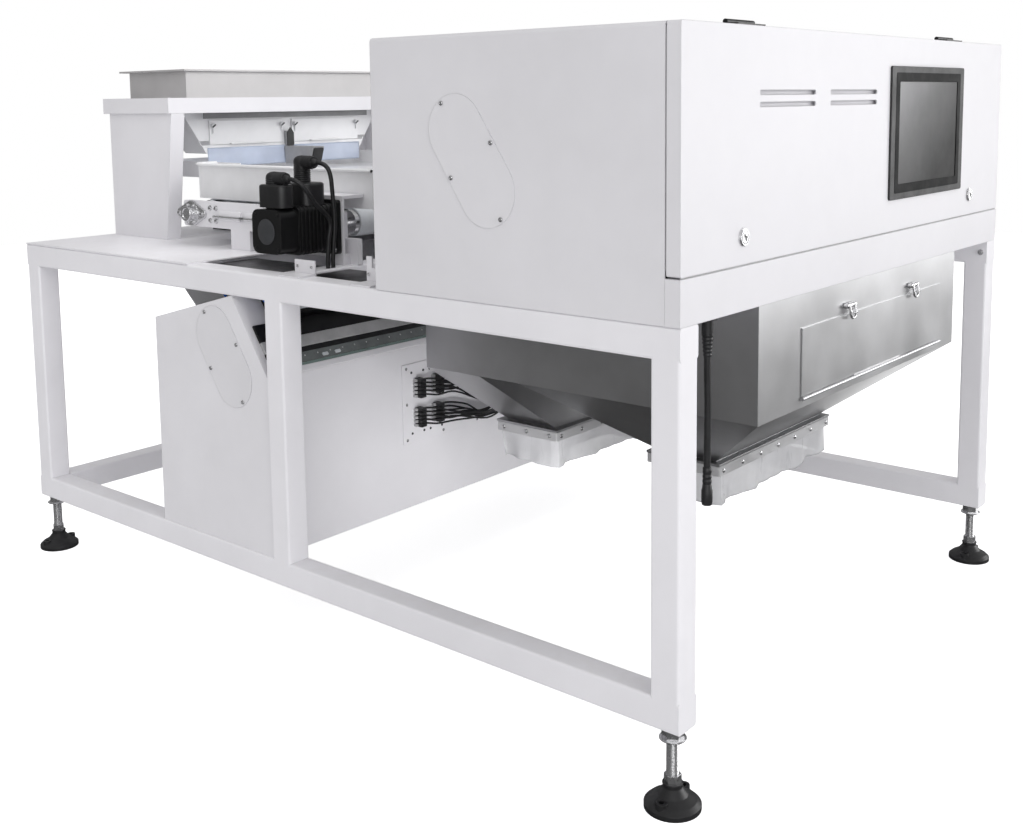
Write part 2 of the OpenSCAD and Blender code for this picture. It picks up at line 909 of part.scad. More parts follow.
// One hinge: side 1 is the roof's leaf with the outer knuckles and the pin, side -1 the door's leaf
module hinge_leaf_at(x, side) {
    knuckle = hinge_w / 3;
    leaf_y0 = side > 0 ? hinge_y + hinge_r + 1 : hinge_y - hinge_r - 1;
    leaf_y1 = side > 0 ? leaf_y0 + 30 : -end_y + hinge_leaf;
    spans = side > 0
        ? [[-hinge_w / 2, -knuckle / 2 - run_gap], [knuckle / 2 + run_gap, hinge_w / 2]]
        : [[-knuckle / 2, knuckle / 2]];
    translate([x, 0, 0])
        difference() {
            union() {
                block([-hinge_w / 2, leaf_y0, cab_top], [hinge_w / 2, leaf_y1, cab_top + hinge_leaf]);
                for (s = spans) {
                    rod_x(s[0], s[1], hinge_y, hinge_z, hinge_r);
                    block([s[0], hinge_y, cab_top + 1], [s[1], leaf_y0, cab_top + hinge_leaf]);
                }
                if (side > 0)
                    rod_x(-hinge_w / 2, hinge_w / 2, hinge_y, hinge_z, hinge_r / 2);
            }
            if (side < 0)
                rod_x(-hinge_w, hinge_w, hinge_y, hinge_z, hinge_r / 2 + pin_gap);
        }
}

module hinge_leaves_roof() {
    color(black)
        for (x = hinge_x)
            hinge_leaf_at(x, 1);
}

module hinge_leaves_door() {
    color(black)
        for (x = hinge_x)
            hinge_leaf_at(x, -1);
}

module quarter_turn_lock(x) {
    cam_y = -end_y + door_t + 4;
    cam_w = lock_d * 0.53;
    head_t = bezel_t;
    slot = 4;
    color([0.72, 0.72, 0.74]) {
        difference() {
            rod_y(x, -end_y - head_t, -end_y - run_gap, lock_cz, lock_d / 2);
            translate([x, -end_y - head_t, lock_cz])
                cube([lock_d / 2, slot, slot], center = true);
        }
        rod_y(x, -end_y - 1, cam_y, lock_cz, lock_d * 0.3);
        translate([x, cam_y, lock_cz - cam_l / 2 + cam_w / 2])
            along_y(sheet_t)
                rounded_rect(cam_w, cam_l, cam_w * 0.3);
    }
}

module lock_left() {
    quarter_turn_lock(-lock_x);
}

module lock_right() {
    quarter_turn_lock(lock_x);
}

// Feed gantry and hopper

module gantry_sides() {
    outline = [
        [gantry_y0, deck_top], [gantry_y1, deck_top], [gantry_y1, ring_z], [gantry_front, ring_z]
    ];
    inner = inset(outline, sheet_t);
    color(white)
        for (s = [-1, 1])
            translate([s * (gantry_w - gantry_flange) / 2, 0, 0])
                difference() {
                    along_x(gantry_flange)
                        polygon(outline);
                    translate([-s * sheet_t, 0, 0])
                        along_x(gantry_flange)
                            polygon(inner);
                }
}

module gantry_top() {
    x1 = gantry_w / 2 + gantry_over;
    inner_x = collar_w / 2 - 15;
    color(white)
        ring(
            [-x1, gantry_front], [x1, end_y + front_reach],
            [-inner_x, throat_y - 58], [inner_x, collar_y1 - 13],
            ring_z, collar_z
        );
}

module hopper_collar() {
    x1 = collar_w / 2;
    color([0.8, 0.81, 0.8]) {
        ring(
            [-x1, collar_y0], [x1, collar_y1],
            [-x1 + steel_t, collar_y0 + steel_t], [x1 - steel_t, collar_y1 - steel_t],
            collar_z, collar_z + collar_h
        );
        ring(
            [-x1 - rim_w, collar_y0 - rim_w], [x1 + rim_w, end_y],
            [-x1 + steel_t, collar_y0 + steel_t], [x1 - steel_t, collar_y1 - steel_t],
            collar_z + collar_h - 2 * steel_t, collar_z + collar_h
        );
    }
}

// Places of the four gate screws, from the gates' edges
function knob_places() =
    [for (s = [-1, 1], e = [knob_in, gate_w - knob_in]) s * (gate_gap / 2 + e)];

module hopper_funnel() {
    x_top = collar_w / 2 - steel_t;
    y_top = [collar_y0 + steel_t, collar_y1 - steel_t];
    y_low = [throat_y, throat_y + outlet_d];
    x_low = [-outlet_w / 2, outlet_w / 2];
    t = steel_t;
    slot_h = 14;
    knob_l = 10;
    head_y0 = throat_y - sheet_t - 2 * run_gap;
    outer = [
        [y_low[0], bar_z], [y_low[1], bar_z], [y_top[1], funnel_top], [y_top[0], funnel_top],
        [y_low[0], ring_z]
    ];
    inner = inset(outer, t);
    open_inner = [
        [inner[0].x, bar_z - 1], [inner[1].x, bar_z - 1], inner[1], inner[2],
        [inner[2].x, funnel_top + 1], [inner[3].x, funnel_top + 1], inner[3], inner[4]
    ];
    color(stainless) {
        difference() {
            intersection() {
                along_x(collar_w)
                    polygon(outer);
                along_y(4 * end_y)
                    polygon(funnel_section(x_low, [-x_top, x_top], bar_z, funnel_top, 0, 0));
            }
            intersection() {
                along_x(collar_w)
                    polygon(open_inner);
                along_y(4 * end_y)
                    polygon(funnel_section(x_low, [-x_top, x_top], bar_z, funnel_top, t, 2));
            }
            block([-outlet_w, throat_y - 1, outlet_z], [outlet_w, throat_y + 1.2 * t, outlet_z + slot_h]);
        }
        for (x = knob_places()) {
            rod_y(x, throat_y + t / 2, head_y0, knob_z, knob_r);
            rod_y(x, head_y0, head_y0 - knob_l, knob_z, knob_head_r);
        }
    }
}

module feed_gate(s) {
    x0 = s * gate_gap / 2;
    y1 = throat_y - run_gap;
    grip_d = 14;
    color([0.78, 0.79, 0.8])
        difference() {
            union() {
                block([x0, y1 - sheet_t, gate_z], [x0 + s * gate_w, y1, gate_z + gate_h]);
                block(
                    [x0 + s * gate_w * 0.25, y1 - grip_d, gate_z],
                    [x0 + s * gate_w * 0.75, y1, gate_z + sheet_t]
                );
            }
            for (e = [knob_in, gate_w - knob_in])
                translate([x0 + s * e, throat_y, knob_z - gate_travel / 2])
                    along_y(4 * grip_d)
                        stadium(gate_travel, knob_r + run_gap);
        }
}

module gate_left() {
    feed_gate(-1);
}

module gate_right() {
    feed_gate(1);
}

module curtain() {
    t = 2;
    edge = 4;
    color([0.75, 0.85, 0.95, 0.5])
        block(
            [-outlet_w / 2 + edge, throat_y - t, bar_z - curtain_l],
            [outlet_w / 2 - edge, throat_y, outlet_z - 2 * edge]
        );
}

// Level sensor over the tray: a bracket on the hopper's wall between the gates and a tapered housing
module level_sensor() {
    arm_w = gate_gap - 8;
    arm_t = 14;
    arm_z = [outlet_z - 6, outlet_z + 36];
    head = [-gate_gap / 2, gate_gap / 2 + 10];
    head_l = 140;
    head_z = [tray_z + 20, outlet_z - 12];
    head_y1 = throat_y - sheet_t - 1;
    taper = 18;
    color([0.55, 0.56, 0.57]) {
        block([-arm_w / 2, throat_y - arm_t, arm_z[0]], [arm_w / 2, throat_y, arm_z[1]]);
        block([-arm_w / 2, throat_y - arm_t, head_z[1] - 1], [arm_w / 2, head_y1, arm_z[0] + 1]);
        translate([(head[0] + head[1]) / 2, 0, 0])
            along_x(head[1] - head[0])
                polygon([
                    [head_y1, head_z[1]], [head_y1 - head_l, head_z[1]],
                    [head_y1 - head_l + taper, head_z[0]], [head_y1 - taper / 3, head_z[0]]
                ]);
    }
}

// Feeder

module feeder_tray() {
    x1 = tray_w / 2;
    t = steel_t;
    color(stainless) {
        difference() {
            block([-x1, tray_y0, tray_z], [x1, tray_y0 + tray_l, tray_z + tray_h]);
            block(
                [-x1 + t, tray_y0 - 1, tray_z + t],
                [x1 - t, tray_y0 + tray_l - t, tray_z + tray_h + 1]
            );
        }
        for (s = [-1, 1])
            translate([s * shoe_x, 0, 0])
                block(
                    [-shoe_w / 2, tray_y0 + tray_l * 0.3, tray_z - shoe_h],
                    [shoe_w / 2, tray_y0 + tray_l * 0.85, tray_z + t]
                );
    }
}

// Drive unit under the tray: a heavy base, the magnet and four upright leaf springs
module feeder_base() {
    base_w = tray_w * 0.65;
    base_d = tray_l * 0.475;
    base_h = 70;
    base_z = deck_top + base_h;
    y0 = tray_y0 + tray_l * 0.35;
    magnet = [120, 70, 20];
    spring_w = shoe_w - 12;
    spring_t = 6;
    spring_in = 10;
    color([0.3, 0.31, 0.33]) {
        block([-base_w / 2, y0, deck_top], [base_w / 2, y0 + base_d, base_z]);
        translate([0, y0 + base_d / 2, base_z + magnet.z / 2 - 1])
            cube(magnet, center = true);
        for (s = [-1, 1], y = [y0 + spring_in, y0 + base_d - spring_in - spring_t])
            translate([s * shoe_x, y, 0])
                block([-spring_w / 2, 0, base_z - 1], [spring_w / 2, spring_t, tray_z - shoe_h - run_gap]);
    }
}

// Conveyor

module conveyor_sides() {
    y0 = head_y - 45;
    y1 = tail_y + 40;
    leg_y = deck_front + 60;
    leg_w = 80;
    foot_h = axis_h - 30;
    slot_l = 40;
    slot_r = 9;
    slot_pitch = belt_run / 5;
    bore_r = shaft_d / 2 + 3;
    color(white)
        for (s = [-1, 1])
            translate([s * (plate_x + plate_t / 2), 0, 0])
                difference() {
                    union() {
                        translate([0, (y0 + y1) / 2, axis_z])
                            along_x(plate_t)
                                rounded_rect(y1 - y0, plate_h, 8);
                        block([-plate_t / 2, leg_y, deck_top], [plate_t / 2, leg_y + leg_w, axis_z]);
                        block([-plate_t / 2, y0, frame_top], [plate_t / 2, tube / 2, axis_z]);
                        block([-plate_t / 2, -tube / 2, frame_top], [plate_t / 2, y0 + 1, frame_top + foot_h]);
                    }
                    for (y = [head_y, tail_y])
                        rod_x(-plate_t, plate_t, y, axis_z, bore_r);
                    for (i = [-1:1])
                        translate([0, (head_y + tail_y) / 2 + i * slot_pitch, axis_z])
                            along_x(2 * plate_t)
                                rotate(90)
                                    stadium(slot_l, slot_r);
                }
}

module belt_loop(r) {
    translate([(head_y + tail_y) / 2, axis_z])
        rotate(90)
            stadium(belt_run, r);
}

module belt() {
    inner_r = roller_d / 2 + run_gap;
    color([0.92, 0.93, 0.95])
        difference() {
            along_x(belt_w)
                belt_loop(inner_r + belt_t);
            along_x(2 * belt_w)
                belt_loop(inner_r);
        }
}

module roller(y) {
    color([0.62, 0.63, 0.65]) {
        rod_x(-belt_w / 2 - plate_t, belt_w / 2 + plate_t, y, axis_z, roller_d / 2);
        rod_x(-plate_out - bearing_t, plate_out + bearing_t, y, axis_z, shaft_d / 2);
    }
}

module drive_roller() {
    roller(head_y);
}

module tail_roller() {
    roller(tail_y);
}

module roller_bearings() {
    flange_t = bearing_t * 0.4;
    hub_r = bearing_d / 2 - 12;
    color([0.66, 0.66, 0.67])
        for (s = [-1, 1], y = [head_y, tail_y])
            difference() {
                union() {
                    rod_x(s * plate_out, s * (plate_out + flange_t), y, axis_z, bearing_d / 2);
                    rod_x(s * plate_out, s * (plate_out + bearing_t), y, axis_z, hub_r);
                }
                rod_x(-2 * plate_out, 2 * plate_out, y, axis_z, shaft_d / 2 + pin_gap);
            }
}

module belt_bed() {
    bed_z = axis_z + roller_d / 2 - 2;
    bed_t = 5;
    bed_in = roller_d / 2 + 20;
    y0 = head_y + bed_in;
    y1 = tail_y - bed_in;
    bar = 40;
    bar_z = axis_z - 14;
    color([0.6, 0.61, 0.62]) {
        block([-belt_w / 2, y0, bed_z - bed_t], [belt_w / 2, y1, bed_z]);
        for (y = [y0 + 1.5 * bar, y1 - 1.5 * bar])
            block([-plate_x, y - bar / 2, bar_z], [plate_x, y + bar / 2, bed_z - 1]);
    }
}

module side_guards() {
    x0 = guard_w / 2;
    y0 = head_y - 100;
    y1 = tail_y + 20;
    foot_y = head_y - 30;
    z1 = plate_top + guard_h;
    lip = 14;
    belt_gap = 2;
    color(stainless)
        for (s = [-1, 1]) {
            block([s * x0, y0, belt_top + belt_gap], [s * (x0 - steel_t), y1, z1]);
            block(
                [s * (x0 - steel_t), foot_y, plate_top],
                [s * (plate_x + plate_t / 2), y1, plate_top + steel_t]
            );
            block([s * (x0 - steel_t), y0, z1], [s * (x0 + lip), y1, z1 + steel_t]);
        }
}

// Motor

module motor() {
    cap_l = 52;
    flange_t = 12;
    plug_l = 74;
    body_mid = (motor_x - flange_t + motor_end + cap_l) / 2;
    plug_y = motor_plug_y - head_y;
    color(black)
        translate([0, head_y, axis_z]) {
            translate([motor_x - flange_t / 2, 0, 0])
                along_x(flange_t)
                    rounded_rect(motor_flange, motor_flange, 8);
            translate([body_mid, 0, 0])
                along_x(motor_l - flange_t - cap_l)
                    rounded_rect(motor_body, motor_body, 14);
            translate([motor_end + cap_l / 2, 0, 0])
                along_x(cap_l)
                    rounded_rect(motor_body * 0.92, motor_body * 0.92, 20);
            for (x = motor_plug_x) {
                block(
                    [x - motor_plug / 2, -motor_plug / 2, 0],
                    [x + motor_plug / 2, motor_plug / 2, motor_plug_z - axis_z]
                );
                rod_y(x, plug_y, plug_y + plug_l, motor_plug_z - axis_z, motor_plug / 2);
            }
        }
}

// Channel that carries the motor beside the head roller
module motor_channel() {
    web_y0 = head_y - motor_flange / 2 - 4;
    web_y1 = head_y + motor_flange / 2 + 4;
    z0 = axis_z - bracket_h / 2;
    z1 = axis_z + bracket_h / 2;
    inner = -guard_w / 2 - 2;
    boss_r = bearing_d / 2 + 4;
    web_t = 8;
    difference() {
        union() {
            block([motor_x, web_y0, z0], [motor_x + web_t, web_y1, z1]);
            block([motor_x, web_y0, z1 - web_t], [inner, web_y1, z1]);
            block([motor_x, web_y0, z0], [-plate_out, web_y1, z0 + web_t]);
            block([motor_x, web_y0, frame_top], [-plate_out, tube / 2, z0 + web_t]);
        }
        rod_x(motor_x - 1, motor_x + web_t + 1, head_y, axis_z, boss_r);
    }
}

// Angle bracket on the left top rail, with an optional slot in its upright leg
module rail_angle(y0, l, h, slot_w) {
    t = 4;
    reach = tube - 6;
    translate([-rail_in_x, y0, frame_top])
        difference() {
            union() {
                block([-reach, 0, 0], [0, l, t]);
                block([-t, 0, 0], [0, l, h]);
            }
            if (slot_w > 0)
                block([-2 * t, (l - slot_w) / 2, h * 0.58], [t, (l + slot_w) / 2, h + 1]);
        }
}

module motor_bracket() {
    plain_l = 69;
    plain_h = 34;
    slotted_l = 62;
    slotted_h = 58;
    slot_w = 28;
    color(white) {
        motor_channel();
        rail_angle(-tube / 2 - 56, plain_l, plain_h, 0);
        rail_angle(cab_back + 24, slotted_l, slotted_h, slot_w);
    }
}

module motor_cables() {
    clamp_y = -tube / 4;
    step = 12;
    color(black)
        for (x = motor_plug_x)
            swept([
                [x, motor_plug_y - seat_gap, motor_plug_z],
                [x, motor_plug_y - step / 2, motor_plug_z],
                [x, motor_plug_y - step, motor_plug_z],
                [x, motor_plug_y - 2.2 * step, motor_plug_z - step / 2],
                [x + step / 2, motor_plug_y - 3.2 * step, motor_plug_z - 7 * step],
                [x + 1.5 * step, clamp_y - step / 2, frame_top + 4 * step],
                [x + 1.5 * step, clamp_y, frame_top + 2 * step],
                [x + 1.5 * step, clamp_y, frame_top + step],
                [x + 1.5 * step, clamp_y, frame_top + seat_gap]
            ], cable_d, 3);
}

// Lower optics

module lower_box() {
    inner = inset(lower_outline, sheet_t);
    color(white)
        difference() {
            along_x(2 * lower_x)
                polygon(lower_outline);
            along_x(2 * lower_x - 2 * sheet_t)
                polygon(concat([[inner[0].x, low_top - 1], [inner[1].x, low_top - 1]],
                    [inner[2], inner[3], inner[4]]));
        }
}

// Sloped sheet with two cheeks, between the deck and the lower housing's back wall
module dust_chute() {
    x1 = plate_x;
    t = steel_t;
    foot = [lower_y1, frame_top - 326];
    head = [lower_y1 + 371, frame_top];
    color(stainless) {
        along_x(2 * x1)
            polygon([foot, foot + [t, 0], head, head - [t, 0]]);
        for (s = [-1, 1])
            translate([s * (x1 - t / 2), 0, 0])
                along_x(t)
                    polygon([foot, head, [foot.x, head.y]]);
    }
}

module valve_plate() {
    y1 = lower_y0;
    y0 = y1 - sheet_t;
    color(white)
        block(
            [-valve_plate_w / 2, y0, valve_z - valve_plate_h / 2],
            [valve_plate_w / 2, y1, valve_z + valve_plate_h / 2]
        );
    color(black) {
        for (p = plug_places())
            translate([p.x, y0 - plug.y / 2 + 1, p.y])
                cube([plug.x, plug.y + 2, plug.z], center = true);
        translate([valve_gather.x, y0 - gather.y, valve_gather.y - gather.z / 2])
            cube([gather.x, gather.y + 1, gather.z]);
    }
}

// Plug centres in X and Z: four groups of five on the connector plate
function plug_places() =
    [for (x = plug_x, z = plug_z, k = [-2:2]) [x, valve_z + z + k * plug_pitch]];

// Two cables from each group of plugs, side by side on their way to the gathering block
module valve_cables() {
    y1 = lower_y0 - sheet_t - plug.y - seat_gap;
    step = 10;
    level = valve_gather.y + gather.z / 2 - valve_cable_d;
    color(black)
        for (g = [0, 1], h = [0, 1], k = [0, 1])
            let(
                p = plug_places()[g * 10 + h * 5 + 1 + 2 * k],
                lane = 2 * h + 1 - k,
                out = y1 - (g == 0 ? 3.4 : 2) * step,
                z = level - lane * 1.5 * valve_cable_d,
                y = lower_y0 - sheet_t - gather.y * (g == 0 ? 0.78 : 0.36)
            )
            swept([
                [p.x, y1, p.y], [p.x, y1 - step / 2, p.y], [p.x, y1 - step, p.y], [p.x + step, out, p.y - 2],
                [plug_x[1] + 9 * step, out, (p.y + z) / 2],
                [valve_gather.x - 4 * step, y, z],
                [valve_gather.x - 2 * step, y, z], [valve_gather.x - seat_gap, y, z]
            ], valve_cable_d, 3);
}

module air_tube() {
    x = -rail_in_x + air_d;
    step = 20;
    top = lower_outline[2];
    start_y = lower_y0 + lower_d * 0.52;
    start_z = line_at([lower_apex.y, lower_apex.x], [top.y, top.x], start_y);
    start = [start_y, start_z];
    up = left_of(unit(top - lower_apex));
    out = [-cos(optic_tilt), sin(optic_tilt)];
    foot = [lower_y0, lower_z1] + 1.2 * step * [sin(optic_tilt), cos(optic_tilt)];
    route = [
        start + seat_gap * up, start + step / 2 * up, start + step * up,
        [start_y - 5 * step, lower_apex.y + 0.3 * step],
        [lower_y0 + 1.5 * step, lower_z1 + 6.5 * step],
        foot + 2 * step * out, foot + step * out, foot + seat_gap * out
    ];
    color([0.1, 0.35, 0.8])
        swept([for (p = route) [x, p.x, p.y]], air_d, 3);
}

// Chute

module chute_walls() {
    x1 = chute_w / 2;
    t = steel_t;
    lap = 12;
    color(stainless) {
        difference() {
            ring(
                [-x1, chute_front], [x1, chute_back],
                [-x1 + t, chute_front + t], [x1 - t, chute_back - t],
                chute_bend, frame_top
            );
            block(
                [hatch_x - hatch_w / 2 + lap, chute_front - 1, hatch_bottom + lap],
                [hatch_x + hatch_w / 2 - lap, chute_front + t + 1, hatch_bottom + hatch_h - lap]
            );
        }
        for (s = [-1, 1]) {
            x0 = hatch_x + s * hatch_w / 2;
            x2 = hatch_x + s * (hatch_w / 6 + run_gap);
            rod_x(x0, x2, hatch_axis_y, hatch_axis_z, hatch_barrel_r);
            block(
                [x0, hatch_axis_y, hatch_axis_z - hatch_barrel_r],
                [x2, chute_front + t / 2, hatch_axis_z - 1]
            );
        }
        rod_x(hatch_x - hatch_w / 2, hatch_x + hatch_w / 2, hatch_axis_y, hatch_axis_z, hatch_pin_r);
        for (x = latch_x) {
            for (s = [-1, 1])
                block(
                    [x + s * latch_ear[0], latch_y - latch_r, latch_z - latch_r - 1],
                    [x + s * latch_ear[1], chute_front + t / 2, latch_z + latch_r + 1]
                );
            rod_x(x - latch_ear[1], x + latch_ear[1], latch_y, latch_z, hatch_pin_r);
        }
    }
}

module access_door() {
    t = sheet_t;
    y1 = chute_front - run_gap;
    color(stainless)
        difference() {
            union() {
                block(
                    [hatch_x - hatch_w / 2, y1 - t, hatch_bottom],
                    [hatch_x + hatch_w / 2, y1, hatch_bottom + hatch_h]
                );
                rod_x(hatch_x - hatch_w / 6, hatch_x + hatch_w / 6, hatch_axis_y, hatch_axis_z, hatch_barrel_r);
                block(
                    [hatch_x - hatch_w / 6, hatch_axis_y, hatch_axis_z],
                    [hatch_x + hatch_w / 6, y1, hatch_bottom + 1]
                );
            }
            rod_x(-end_y, end_y, hatch_axis_y, hatch_axis_z, hatch_pin_r + pin_gap);
        }
}

module hook_latch(x) {
    half = latch_ear[0] - 0.5;
    arm_y = latch_y - 2.6;
    arm_l = 16;
    tab_t = 2.5;
    tab_d = 14;
    color([0.8, 0.8, 0.81])
        translate([x, 0, 0])
            difference() {
                union() {
                    rod_x(-half, half, latch_y, latch_z, latch_r);
                    block([-half, latch_y - latch_r, latch_z - arm_l], [half, arm_y, latch_z]);
                    block([-half, latch_y - tab_d, latch_z - arm_l], [half, arm_y, latch_z - arm_l + tab_t]);
                }
                rod_x(-2 * half, 2 * half, latch_y, latch_z, hatch_pin_r + pin_gap);
            }
}

module latch_left() {
    hook_latch(latch_x[0]);
}

module latch_right() {
    hook_latch(latch_x[1]);
}

module splitter() {
    path = [
        [rear_y0, chute_bend], [(rear_y0 + ridge_y) / 2 + 20, chute_bend + splitter_h], [ridge_y, chute_bend]
    ];
    color(stainless)
        along_x(chute_w - 2 * steel_t)
            polygon(sheet_outline(path, steel_t));
}

module outlet_funnel(y_top, y_mid) {
    x1 = chute_w / 2;
    y_low = [y_mid - spout_d / 2, y_mid + spout_d / 2];
    f = spout_flange;
    color(stainless) {
        sheet_funnel([-spout_w / 2, spout_w / 2], [-x1, x1], y_low, y_top, spout_z, chute_bend, steel_t);
        ring(
            [-spout_w / 2 - f, y_low[0] - f], [spout_w / 2 + f, y_low[1] + f],
            [-spout_w / 2 + steel_t, y_low[0] + steel_t], [spout_w / 2 - steel_t, y_low[1] - steel_t],
            spout_z - 2 * steel_t, spout_z
        );
    }
}

module rear_funnel() {
    outlet_funnel([rear_y0, chute_back], rear_spout_y);
}

module front_funnel() {
    outlet_funnel([chute_front, ridge_y], front_spout_y);
}

module skirts() {
    t = 2;
    inset_w = spout_flange * 0.8;
    x1 = spout_w / 2 + inset_w;
    d = spout_d / 2 + inset_w;
    z1 = spout_z - 2 * steel_t;
    color([0.9, 0.92, 0.93, 0.6])
        for (y = [rear_spout_y, front_spout_y])
            ring([-x1, y - d], [x1, y + d], [-x1 + t, y - d + t], [x1 - t, y + d - t], z1 - skirt_h, z1);
}

// Hanging lead

module lead_gland() {
    nut_h = 12;
    color(black)
        translate(lead_top) {
            cylinder(h = gland_h, d = lead_d + 9);
            translate([0, 0, gland_h - nut_h])
                cylinder(h = nut_h, d = (lead_d + 17) / cos(30), $fn = 6);
        }
}

module power_lead() {
    color(black)
        swept(lead_route, lead_d, 4);
}

module lead_connector() {
    color(black)
        translate(lead_route[len(lead_route) - 1] - [0, 0, connector_l + seat_gap]) {
            cylinder(h = connector_l, d = lead_d + 4);
            cylinder(h = connector_l * 0.4, d = lead_d + 8);
        }
}

left_side_frame();
right_side_frame();
cross_rails();
deck_plate();
foot_pads();
foot_studs();
cabinet_shell();
cabinet_floor();
optics_wall();
optics_windows();
light_bars();
cameras();
electronics_plate();
front_lip();
optics_covers();
ejector();
door();
screen_bezel();
screen_glass();
panel_pc();
hinge_leaves_roof();
hinge_leaves_door();
lock_left();
lock_right();
gantry_sides();
gantry_top();
hopper_collar();
hopper_funnel();
gate_left();
gate_right();
curtain();
level_sensor();
feeder_tray();
feeder_base();
conveyor_sides();
belt();
drive_roller();
tail_roller();
roller_bearings();
belt_bed();
side_guards();
motor();
motor_bracket();
motor_cables();
lower_box();
dust_chute();
valve_plate();
valve_cables();
air_tube();
chute_walls();
splitter();
rear_funnel();
front_funnel();
skirts();
access_door();
latch_left();
latch_right();
lead_gland();
power_lead();
lead_connector();
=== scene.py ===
import json
import math

import bpy
import numpy as np
from bpy.props import FloatProperty, FloatVectorProperty, IntProperty, PointerProperty
from bpy.types import NodeSocket, Operator, Panel, PropertyGroup
from mathutils import Matrix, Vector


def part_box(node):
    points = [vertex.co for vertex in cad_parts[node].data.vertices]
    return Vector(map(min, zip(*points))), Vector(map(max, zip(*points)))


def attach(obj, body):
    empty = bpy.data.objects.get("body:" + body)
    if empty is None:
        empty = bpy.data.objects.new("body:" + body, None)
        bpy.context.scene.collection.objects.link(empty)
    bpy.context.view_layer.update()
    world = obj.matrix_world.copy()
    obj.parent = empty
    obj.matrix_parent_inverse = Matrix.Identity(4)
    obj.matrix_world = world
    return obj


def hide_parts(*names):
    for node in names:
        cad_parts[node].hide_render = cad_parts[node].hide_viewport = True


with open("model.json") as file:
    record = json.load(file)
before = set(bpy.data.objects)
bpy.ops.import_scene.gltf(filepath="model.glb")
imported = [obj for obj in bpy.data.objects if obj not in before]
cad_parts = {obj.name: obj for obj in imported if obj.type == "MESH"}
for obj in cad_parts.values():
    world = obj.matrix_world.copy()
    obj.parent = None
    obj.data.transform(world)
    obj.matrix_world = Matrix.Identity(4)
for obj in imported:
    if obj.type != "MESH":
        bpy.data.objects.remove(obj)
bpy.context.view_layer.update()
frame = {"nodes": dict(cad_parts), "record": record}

NODES = frame["nodes"]

bl_info = {
    "name": "Optical sorter dressing",
    "version": (1, 0, 0),
    "blender": (4, 5, 0),
    "location": "View3D > Sidebar > Sorter",
    "description": "Dresses the packed optical sorter with finishes, fasteners, soft parts "
                   "and a studio",
    "category": "Object",
}

# Directions, and the two sides with their labels
LEFT, FORWARD = (-1, 0, 0), (0, -1, 0)
SIDES = ((-1, "left"), (1, "right"))

# Places that the source fixes, in metres
GLAND = np.array([-0.632, -1.04, 0.848])
LEAD_LENGTH = 0.248
DOOR_FACE = -1.08
SCREEN = np.array([0.287, -1.085, 1.19])
LOCK_X, LOCK_Z = 0.577, 1.022
AXIS_Z = 0.978
ROLLERS_Y = (0.065, 0.625)
PLATE_FACE = 0.55
OUTLETS_Y = {"rear": -0.315, "front": -0.763}
PLUG_FACE, PLUG_Z = 0.027, 0.491

# The optics' tilt, as Y and Z of the way up the slope and of the way into it
TILT = math.radians(34)
UP_SLOPE = np.array([math.sin(TILT), math.cos(TILT)])
IN_SLOPE = np.array([math.cos(TILT), -math.sin(TILT)])
LOWER_BEND = np.array([0.03, 0.64])
UPPER_MIDDLE = np.array([-0.341, 1.2])

# The photograph's camera: place, turn, and measures in the picture's pixels
EYE = (-2.5123, -2.1541, 1.2733)
YAW, PITCH, ROLL = (math.radians(a) for a in (-50.036, 6.829, -0.709))
FOCAL, PICTURE_WIDTH, PICTURE_SHIFT = 1208.0, 1023.0, -174.5
SENSOR_WIDTH = 36.0


# Settings

def colour(name, description, default):
    """A colour setting."""
    return FloatVectorProperty(
        name=name, description=description, subtype="COLOR", default=default, min=0, max=1)


def amount(name, description, default, low, high, unit="NONE"):
    """A setting of one number between two limits."""
    return FloatProperty(
        name=name, description=description, default=default, min=low, max=high, unit=unit)


class SorterFinish(PropertyGroup):
    """Colours of the finishes."""

    paint: colour("Paint", "White of the frame and cabinets", (0.8, 0.79, 0.82))
    steel: colour("Stainless", "Tint of the stainless sheet", (0.57, 0.57, 0.58))
    black: colour("Black parts", "Black of motor, pads and cables", (0.01, 0.01, 0.011))
    plastic: colour("Clear plastic", "Tint of the skirts", (0.66, 0.66, 0.68))
    tube: colour("Air tube", "Blue of the air tube", (0.01, 0.115, 0.56))


class SorterSizes(PropertyGroup):
    """Sizes of the dressing pieces."""

    lead_diameter: amount(
        "Lead diameter", "Diameter of the hanging lead", 0.013, 0.008, 0.02, "LENGTH")
    screw_radius: amount(
        "Screw radius", "Radius of the cover screws' heads", 0.005, 0.003, 0.008, "LENGTH")
    hem_wave: amount(
        "Hem wave", "How far the skirts' hems swing in and out", 0.007, 0.0, 0.012, "LENGTH")
    thread_pitch: amount(
        "Thread pitch", "Pitch of the levelling studs", 0.0025, 0.0015, 0.004, "LENGTH")
    nozzles: IntProperty(
        name="Nozzles", description="Number of air nozzles on the ejector bar",
        default=64, min=16, max=96)


class SorterStage(PropertyGroup):
    """Light of the studio."""

    key: amount("Key light", "Power of the large front light", 262.0, 0, 4000, "POWER")
    strip: amount(
        "Strip light", "Power of the light that the steel reflects", 455.0, 0, 4000, "POWER")
    fill: amount("Low fill", "Power of the small light under the cabinet", 0.5, 0, 100, "POWER")
    feed: amount("Feed light", "Power of the light over the feed", 2.6, 0, 100, "POWER")
    sky: amount("Surroundings", "Strength of the light from all round", 0.79, 0, 2)
    dark: amount(
        "Reflected studio", "Strength of the surroundings as metal reflects them", 0.2, 0, 2)


# Surfaces

def box(name):
    """The lower and the upper corner of a node of the frame."""
    return [np.array(corner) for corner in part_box(name)]


def points(x, y, z):
    """Points from their three columns, any of which may be a single number."""
    return np.column_stack(np.broadcast_arrays(x, y, z))


def unit(vectors):
    """Rows of vectors, each divided by its length."""
    return vectors / np.linalg.norm(vectors, axis=-1, keepdims=True)


